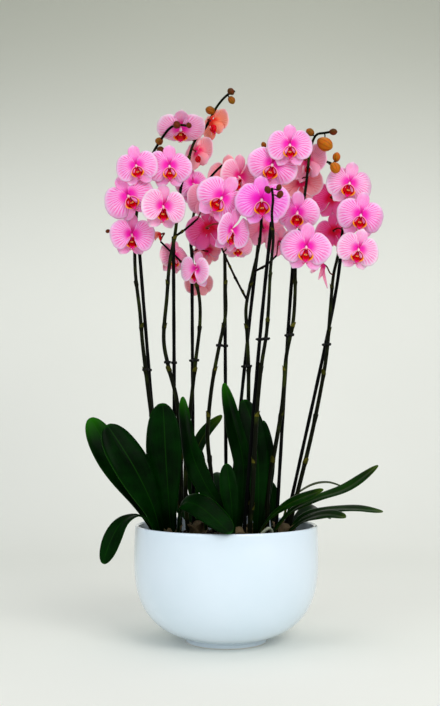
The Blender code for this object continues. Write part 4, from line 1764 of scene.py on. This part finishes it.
@dataclass
class WiltedFlower:
    """A spent flower: narrow limp tepals that hang from a bent stalk."""

    stalk: Sequence[Place]
    tepals: Sequence[tuple[float, Sequence[Place]]]
    steps: int = 14

    def ribbon(self, width: float, places: Sequence[Place]) -> list[list[Vector]]:
        """Draws one limp tepal.

        Args:
            width: Its greatest width, in millimetres.
            places: Its middle line.

        Returns:
            Rows of points, from its foot to its tip.
        """
        path = even_path(in_metres(places), self.steps)
        rows = []
        for k, (point, along) in enumerate(zip(path, directions(path))):
            share = k / (self.steps - 1)
            side = along.cross(Vector((0.2, -1, 0.1))).normalized()
            side = (side + Vector((0, 0.5 * math.sin(4 * share), 0))).normalized()
            out = side.cross(along)
            half = width / 2 * MM * (0.35 + 0.65 * math.sin(math.pi * min(1, 0.15 + 0.85 * share)))
            rows.append([point + (side * t + out * 0.45 * t * t) * half for t in (-1, -0.5, 0, 0.5, 1)])
        return rows

    def build(self) -> None:
        """Builds the stalk and the tepals."""
        draft = Draft()
        for width, places in self.tepals:
            draft.grid(self.ribbon(width, places))
        faces = [Tone.WARM.value, Back.MAGENTA.value]
        draft.build("wilted_flower", faces, "petal_pink", thickness=0.6 * MM)
        draft = Draft()
        draft.tube(even_path(in_metres(self.stalk), 14), [1.3 * MM] * 14, 8)
        draft.build("wilted_stalk", [PEDICEL], "stem_green")


@dataclass
class Bud:
    """A closed bud on a short stalk."""

    number: int
    spike: int
    place: Place
    length: float
    finish: BudFinish = BUD
    axis: Place | None = None

    def build(self, holds: Sequence[Vector]) -> None:
        """Builds the bud, along its axis or else away from the nearest place on its spike.

        Args:
            holds: The spike's places that can carry it.
        """
        centre = metres(self.place)
        hold = min(holds, key=lambda p: (p - centre).length)
        along = (Vector(self.axis) if self.axis else centre - hold).normalized()
        half = self.length * MM / 2
        outline = (
            (0, 0.12), (0.05, 0.34), (0.18, 0.62), (0.38, 0.80), (0.56, 0.84), (0.74, 0.74),
            (0.88, 0.50), (0.96, 0.26), (1, 0.06),
        )
        draft = Draft()
        draft.pod(centre - along * half, centre + along * half, [(s, r * half) for s, r in outline], 3)
        sag = hold.lerp(centre, 0.4) + Vector((0, 0, -0.001))
        stalk = even_path([hold, sag, centre - along * half * 0.9], 8)
        draft.tube(stalk, [1.25 * MM] * 8, 8, slot=1)
        draft.build(f"bud_{self.number:02d}", [self.finish, TWIG], "stem_green", rounding=1)


# ---------------------------------------------------------------- the plants' layout


SPIKES = (
    Spike(1, (
        (-104, -12, 182), (-112, -16, 240), (-121, -14, 325), (-133, -12, 411), (-145, -10, 504),
        (-151, -8, 567), (-160, -2, 640), (-161, 6, 715), (-155, 12, 775), (-144, 12, 825),
        (-131, 8, 852), (-118, 0, 872), (-99, -20, 890), (-82, -28, 893), (-64, -31, 890),
    ), (((-161, 6, 706), (-172, 6, 716), (-184, 4, 718), (-206, 0, 711)),)),
    Spike(2, (
        (-80, -28, 182), (-77, -28, 250), (-79, -28, 340), (-85, -26, 411), (-100, -25, 470),
        (-108, -24, 518), (-103, -20, 590), (-99, -15, 648), (-90, -10, 701), (-86, -4, 738),
        (-80, 4, 791), (-72, 9, 822), (-60, 17, 869), (-49, 20, 889), (-36, 17, 904), (-17, 9, 937),
        (1, 4, 957), (16, 0, 964),
    ), (((-91, -10, 698), (-72, -6, 712), (-50, 2, 733)),)),
    Spike(3, (
        (-68, 44, 182), (-72, 42, 250), (-70, 42, 340), (-62, 42, 413), (-54, 42, 485),
        (-47, 42, 548), (-48, 42, 598), (-59, 44, 648), (-64, 50, 713), (-59, 54, 751),
        (-50, 56, 785), (-36, 56, 811), (-20, 52, 830), (-6, 46, 842),
    ), (((-61, 46, 668), (-70, 24, 652), (-94, 6, 671), (-116, 2, 692)),)),
    Spike(4, (
        (-20, 8, 182), (-25, 8, 271), (-32, 8, 337), (-31, 8, 380), (-24, 8, 442), (-12, 8, 507),
        (-1, 8, 561), (-1, 8, 613), (-2, 8, 672), (-1, 10, 705), (2, 12, 742), (8, 14, 779),
        (17, 14, 811), (27, 12, 836),
    )),
    Spike(5, (
        (42, 30, 182), (40, 32, 260), (39, 28, 341), (40, 20, 460), (37, 15, 535), (36, 15, 579),
        (48, 15, 638), (60, 15, 693), (65, 15, 757), (69, 14, 794), (72, 12, 829), (71, 10, 862),
    ), (
        ((37, 15, 590), (18, 2, 624), (2, -10, 656), (-8, -16, 678)),
        ((50, 15, 640), (72, 12, 652), (90, 8, 668)),
    )),
    Spike(6, (
        (38, -62, 182), (44, -66, 260), (50, -70, 375), (58, -74, 461), (67, -76, 519),
        (71, -78, 568), (74, -80, 625), (79, -80, 680), (77, -80, 722), (79, -80, 748),
        (77, -80, 768),
    )),
    Spike(7, (
        (70, -14, 182), (72, -18, 259), (84, -20, 327), (97, -20, 405), (104, -20, 485),
        (116, -20, 544), (120, -20, 596), (121, -18, 645), (125, -14, 683), (131, -6, 720),
        (137, 2, 758), (143, 6, 795), (147, 6, 831), (151, 2, 860), (160, -4, 882), (175, -8, 885),
        (189, -12, 886),
    )),
    Spike(8, (
        (107, 10, 182), (123, 10, 244), (148, 10, 343), (167, 10, 432), (178, 10, 497),
        (184, 10, 565), (190, 10, 628), (198, 10, 664), (206, 12, 700), (211, 14, 743),
        (211, 16, 779), (205, 14, 810), (192, 10, 832), (177, 6, 838),
    )),
)

STAKE_FOOT_Z = 95
STAKES = (
    ((-103, -4, STAKE_FOOT_Z), (-133, 0, 440), (-156, 8, 703), 464),
    ((-87, -17, STAKE_FOOT_Z), (-90, -15, 440), (-93, -2, 700), 476),
    ((-57, 53, STAKE_FOOT_Z), (-60, 53, 440), (-62, 60, 690), 484),
    ((1, 18, STAKE_FOOT_Z), (-1, 18, 440), (-2, 19, 690), 508),
    ((-5, 46, STAKE_FOOT_Z), (30, 32, 440), (58, 25, 690), 472),
    ((22, -52, STAKE_FOOT_Z), (50, -64, 440), (77, -69, 712), 512),
    ((80, -10, STAKE_FOOT_Z), (102, -10, 440), (120, -6, 680), 524),
    ((82, 20, STAKE_FOOT_Z), (170, 20, 480), (205, 22, 665), 510),
)

FLOWERS = (
    Flower(1, 1, (-165, -25, 700), 16, -8, -2, 78, cup=14),
    Flower(2, 1, (-170, -38, 765), 0, 0, -28, 86),
    Flower(3, 1, (-155, -52, 815), -2, -2, -13, 74),
    Flower(4, 2, (-109, -60, 742), 22, -8, 0, 82, Tone.PALE, cup=12),
    Flower(5, 2, (-99, -34, 819), 8, -4, -2, 80),
    Flower(6, 2, (-80, -13, 895), 2, -58, 2, 84, Tone.PALE, Back.PEACH),
    Flower(7, 3, (-95, 26, 670), 44, 0, 4, 66, Tone.WARM, Back.PEACH, cup=10),
    Flower(8, 3, (-49, -3, 643), -32, -10, 14, 68, Tone.PALE, cup=26),
    Flower(9, 4, (-7, -34, 763), 4, -6, 32, 90),
    Flower(10, 5, (7, -48, 704), 50, -14, 6, 84, cup=18),
    Flower(11, 4, (21, 0, 809), 38, -6, 4, 86, Tone.WARM, cup=14),
    Flower(12, 5, (61, -52, 755), -2, 0, -2, 92, Tone.VIVID),
    Flower(13, 5, (81, -22, 825), 4, -6, 14, 88),
    Flower(14, 7, (136, -64, 671), 0, 0, 5, 86),
    Flower(15, 7, (124, -38, 737), -16, -18, 4, 78, cup=-16),
    Flower(16, 7, (111, -36, 856), 0, -2, 0, 80),
    Flower(17, 8, (226, -54, 669), 4, -6, 12, 76, Tone.PALE),
    Flower(18, 8, (233, -38, 732), 0, -4, 9, 82),
    Flower(19, 8, (216, -26, 791), 0, -4, 12, 82, Tone.PALE),
    Flower(20, 8, (193, 38, 779), 158, 0, 0, 78, Tone.WARM, Back.MAGENTA),
    Flower(21, 7, (144, 14, 842), 138, -6, 10, 82, Tone.WARM, Back.DUSKY, fold=0.12),
    Flower(22, 2, (-53, 20, 860), 142, -6, 12, 72, Tone.WARM, Back.PEACH, fold=0.15),
    Flower(23, 2, (-27, 8, 912), 132, -6, 14, 70, Tone.WARM, Back.ORANGE, fold=0.28),
    Flower(24, 3, (-61, 30, 803), 30, 10, -10, 74),
    Flower(25, 2, (-32, 16, 774), -160, 0, 0, 78, Tone.PALE, Back.DUSKY),
    Flower(26, 4, (-32, 36, 723), 166, 4, 4, 84, Tone.VIVID, Back.MAGENTA),
    Flower(27, 3, (-33, 58, 685), 150, 4, 24, 58, Tone.WARM, Back.PEACH),
    Flower(28, 3, (4, 74, 833), 168, 0, 0, 78, Tone.WARM, Back.PEACH),
    Flower(29, 3, (-49, 66, 627), 174, 0, 0, 54, Tone.WARM, Back.PEACH),
    Flower(30, 5, (21, -6, 683), 10, -30, 0, 54, Tone.WARM),
    Flower(31, 5, (69, 44, 725), 168, 0, 0, 74, Tone.PALE, Back.DUSKY),
    Flower(32, 5, (99, 20, 695), 150, 0, 0, 62, Tone.PALE, Back.DUSKY),
    Flower(33, 7, (138, 34, 807), 160, 0, 0, 78, Tone.PALE, Back.PEACH),
    Flower(34, 8, (196, 38, 718), 166, 0, 0, 72, Tone.VIVID, Back.MAGENTA),
    Flower(36, 3, (-115, 0, 705), -110, -10, 0, 34, Tone.WARM, Back.ORANGE, fold=0.8),
)

WILTED = WiltedFlower(
    ((190, 9, 634), (184, 4, 636), (178, -2, 646), (172, -6, 650)),
    (
        (5, ((172, -6, 650), (171, -9, 636), (174, -9, 620), (178, -6, 607))),
        (6, ((171, -6, 649), (168, -11, 637), (162, -9, 622))),
        (11, ((171, -6, 650), (160, -14, 645), (148, -13, 634))),
        (14, ((172, -5, 652), (164, -10, 652), (152, -12, 642))),
        (8, ((173, -4, 650), (170, -6, 640), (166, -4, 628))),
    ),
)

BUDS = (
    Bud(1, 1, (-119, 2, 873), 18),
    Bud(2, 1, (-116, -4, 855), 17, DARK_BUD),
    Bud(3, 1, (-86, -32, 892), 17, DARK_BUD),
    Bud(4, 1, (-65, -33, 891), 12, DARK_BUD),
    Bud(5, 1, (-188, 4, 724), 10, DARK_BUD),
    Bud(6, 1, (-191, 4, 705), 9, DARK_BUD),
    Bud(7, 1, (-209, 0, 710), 9, DARK_BUD),
    Bud(8, 2, (-28, 8, 931), 19),
    Bud(9, 2, (10, 2, 948), 16),
    Bud(10, 2, (9, 0, 963), 15, DARK_BUD),
    Bud(12, 5, (68, 8, 868), 12),
    Bud(13, 6, (70, -83, 764), 14, DARK_BUD, (-0.45, -0.2, 0.8)),
    Bud(14, 6, (89, -83, 768), 12, DARK_BUD, (0.4, -0.2, 0.8)),
    Bud(15, 6, (91, -83, 756), 14, DARK_BUD, (0.35, -0.2, 0.9)),
    Bud(16, 7, (150, -2, 888), 17),
    Bud(17, 7, (175, -12, 864), 31, ORANGE_BUD, (0.76, -0.2, -0.5)),
    Bud(18, 7, (190, -12, 886), 15, DARK_BUD),
    Bud(19, 8, (189, -42, 813), 23, ORANGE_BUD, (0.35, -0.4, -0.7)),
    Bud(20, 8, (198, 8, 846), 18, ORANGE_BUD, (0.1, 0, 1)),
)

LEAVES = (
    Leaf(1, 62, (-0.25, -1.0, 0.15), (
        (-94, -34, 184), (-98, -46, 240), (-104, -60, 320), (-108, -58, 405))),
    Leaf(2, 54, (-0.1, -0.7, 0.7), (
        (-118, -12, 182), (-152, -18, 244), (-194, -24, 308), (-235, -22, 380)), LeafTone.TIPPED),
    Leaf(3, 64, (0.1, -0.8, 0.6), (
        (-112, -44, 184), (-124, -66, 232), (-153, -84, 294), (-198, -92, 368))),
    Leaf(4, 36, (-0.4, -0.2, 0.9), (
        (-116, -32, 182), (-142, -46, 214), (-168, -56, 210), (-188, -60, 182), (-205, -62, 138)),
        tip_facing=(-0.35, -1.0, 0.25)),
    Leaf(5, 48, (-0.45, -0.45, 0.77), (
        (-80, -52, 184), (-72, -80, 236), (-48, -112, 240), (-20, -140, 222), (6, -166, 199)),
        tip_facing=(0.2, -0.7, 0.7)),
    Leaf(6, 42, (-0.35, -0.8, 0.5), (
        (8, -58, 184), (-10, -60, 228), (-38, -60, 272), (-60, -56, 328), (-74, -52, 416)), LeafTone.TIPPED,
        tip_facing=(-0.8, -0.55, 0.1)),
    Leaf(7, 42, (-0.4, -0.9, 0.1), (
        (20, -40, 184), (26, -38, 240), (28, -36, 304), (14, -38, 368), (-4, -34, 440)), LeafTone.TIPPED,
        tip_facing=(-0.85, -0.6, 0.1)),
    Leaf(8, 30, (0.0, -1.0, 0.25), (
        (10, -72, 184), (8, -80, 230), (4, -78, 266), (0, -72, 304))),
    Leaf(9, 46, (0.25, -1.0, 0.1), (
        (52, -18, 184), (54, -24, 246), (52, -24, 310), (44, -22, 366), (30, -18, 412))),
    Leaf(10, 34, (0.6, -0.8, 0.1), (
        (60, 2, 184), (68, 4, 240), (71, 6, 304), (65, 10, 376))),
    Leaf(11, 32, (-0.4, -0.7, 0.6), (
        (-44, 60, 184), (-58, 68, 250), (-62, 72, 296), (-40, 76, 350), (-7, 78, 386)), LeafTone.FRESH),
    Leaf(12, 24, (0.8, -0.6, 0.1), (
        (-36, 26, 184), (-40, 26, 240), (-43, 24, 290), (-44, 22, 324))),
    Leaf(13, 36, (-0.35, -0.3, 0.9), (
        (80, -34, 186), (110, -44, 222), (152, -48, 244), (203, -48, 262), (257, -44, 300)),
        LeafTone.FRESH),
    Leaf(14, 30, (-0.35, -0.4, 0.85), (
        (56, -44, 186), (76, -62, 216), (112, -76, 242), (160, -84, 262)), LeafTone.FRESH),
    Leaf(15, 42, (0.0, -0.2, 1.0), (
        (112, -4, 186), (135, -2, 210), (175, 2, 221), (225, 6, 222), (273, 8, 218)), LeafTone.FRESH),
    Leaf(16, 40, (0.1, -0.35, 0.95), (
        (108, -18, 186), (135, -28, 206), (170, -46, 218), (200, -58, 214)), LeafTone.FRESH),
    Leaf(17, 30, (0.0, 0.15, 1.0), (
        (98, 30, 184), (112, 36, 232), (145, 38, 258), (178, 38, 266), (210, 38, 258)), LeafTone.FRESH),
    Leaf(18, 24, (-0.2, -0.9, 0.3), (
        (84, 44, 184), (84, 50, 220), (82, 56, 246), (78, 60, 268))),
    Leaf(19, 50, (-0.3, -0.7, 0.7), (
        (-56, 72, 184), (-76, 100, 216), (-104, 134, 240), (-128, 172, 236))),
    Leaf(20, 48, (0.2, -0.7, 0.7), (
        (-28, 62, 184), (-18, 92, 226), (-6, 126, 262), (6, 170, 270))),
    Leaf(21, 46, (-0.2, -0.6, 0.8), (
        (58, 40, 184), (64, 70, 220), (74, 110, 242), (88, 160, 232))),
    Leaf(22, 44, (-0.3, -0.5, 0.8), (
        (114, 36, 184), (136, 58, 206), (162, 84, 218), (190, 112, 196))),
)

CROWNS = (
    Crown(1, (-96, -30)), Crown(2, (-50, 52)), Crown(3, (22, -52)), Crown(4, (52, 16)), Crown(5, (102, 2)),
)


# ---------------------------------------------------------------- the studio


@dataclass
class Studio:
    """A pale floor that sweeps up into a wall, soft lights and the camera."""

    half_width: float = 3.2
    front: float = -2.6
    back: float = 1.9
    wall_height: float = 3.4
    sweep: float = 0.9
    camera_place: Place = (-0.0106, -1.68, 0.368)
    camera_pitch: float = 4.285
    lens: float = 49.0
    sensor: float = 36.0
    air: Colour = (0.93, 0.97, 1.0)
    air_strength: float = 0.50
    lamps: Sequence[tuple] = (
        ("key_softbox", (1.4, -2.4, 1.9), (0, 0, 0.5), 1.6, 44, (1.0, 0.985, 0.96)),
        ("fill_softbox", (-2.0, -2.1, 1.3), (0, 0, 0.5), 1.8, 17, (0.95, 0.98, 1.0)),
        ("top_softbox", (0.2, 0.2, 2.6), (0, 0, 0.3), 1.8, 14, (1.0, 1.0, 1.0)),
    )

    def backdrop(self) -> None:
        """Builds the floor, the sweep and the wall as one sheet of paper."""
        flat = self.back - self.sweep
        line = [(self.front, 0.0), (flat, 0.0)]
        for k in range(1, 13):
            turn = math.pi / 2 * k / 12
            line.append((flat + self.sweep * math.sin(turn), self.sweep * (1 - math.cos(turn))))
        line.append((self.back, self.wall_height))
        rows = [[Vector((x, y, z)) for x in (-self.half_width, self.half_width)] for y, z in line]
        mesh = bpy.data.meshes.new("studio_sweep")
        faces = [(2 * k, 2 * k + 1, 2 * k + 3, 2 * k + 2) for k in range(len(rows) - 1)]
        mesh.from_pydata([p for row in rows for p in row], [], faces)
        mesh.materials.append(STUDIO.material())
        mesh.shade_smooth()
        sweep = bpy.data.objects.new("studio_sweep", mesh)
        bpy.context.scene.collection.objects.link(sweep)

    def lamp(
        self, name: str, place: Place, target: Place, size: float, power: float, colour: Colour
    ) -> None:
        """Adds a square soft light.

        Args:
            name: The light's name.
            place: Where it is, in metres.
            target: What it points at.
            size: The length of its side.
            power: Its power in watts.
            colour: Its colour.
        """
        data = bpy.data.lights.new(name, "AREA")
        data.size = size
        data.energy = power
        data.color = colour
        lamp = bpy.data.objects.new(name, data)
        lamp.location = place
        lamp.rotation_euler = (Vector(target) - Vector(place)).to_track_quat("-Z", "Y").to_euler()
        bpy.context.scene.collection.objects.link(lamp)

    def build(self) -> None:
        """Builds the backdrop, the lights and the camera."""
        scene = bpy.context.scene
        self.backdrop()
        for lamp in self.lamps:
            self.lamp(*lamp)
        world = bpy.data.worlds.new("studio_air")
        world.use_nodes = True
        sky = world.node_tree.nodes["Background"]
        sky.inputs["Color"].default_value = (*self.air, 1)
        sky.inputs["Strength"].default_value = self.air_strength
        scene.world = world
        scene.view_settings.view_transform = "Standard"
        data = bpy.data.cameras.new("camera")
        data.sensor_width = self.sensor
        data.lens = self.lens
        camera = bpy.data.objects.new("camera", data)
        camera.location = self.camera_place
        camera.rotation_euler = (math.radians(90 + self.camera_pitch), 0, 0)
        scene.collection.objects.link(camera)
        scene.camera = camera


def write_sizes() -> None:
    """Updates the view layer."""
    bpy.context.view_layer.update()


def main() -> None:
    """Builds the studio, the bowl, what it holds, and the plants."""
    logging.basicConfig(level=logging.INFO, format="%(name)s: %(message)s")
    Studio().build()
    log.info("studio")
    Bowl().build()
    Medium().build()
    log.info("bowl, soil, bark, moss and roots")
    for crown in CROWNS:
        crown.build()
        log.info("crown %d", crown.number)
    for leaf in LEAVES:
        leaf.build()
        log.info("leaf %d", leaf.number)
    for spike in SPIKES:
        spike.build()
        log.info("spike %d", spike.number)
    for number, (*path, clip_z) in enumerate(STAKES, start=1):
        Stake(number, path, clip_z, SPIKES[number - 1]).build()
        log.info("stake %d", number)
    holds = {spike.number: spike.holds() for spike in SPIKES}
    for flower in FLOWERS:
        flower.build(holds[flower.spike])
        log.info("flower %d", flower.number)
    WILTED.build()
    log.info("wilted flower")
    for bud in BUDS:
        bud.build(holds[bud.spike])
        log.info("bud %d", bud.number)
    write_sizes()


if __name__ == "__main__":
    main()
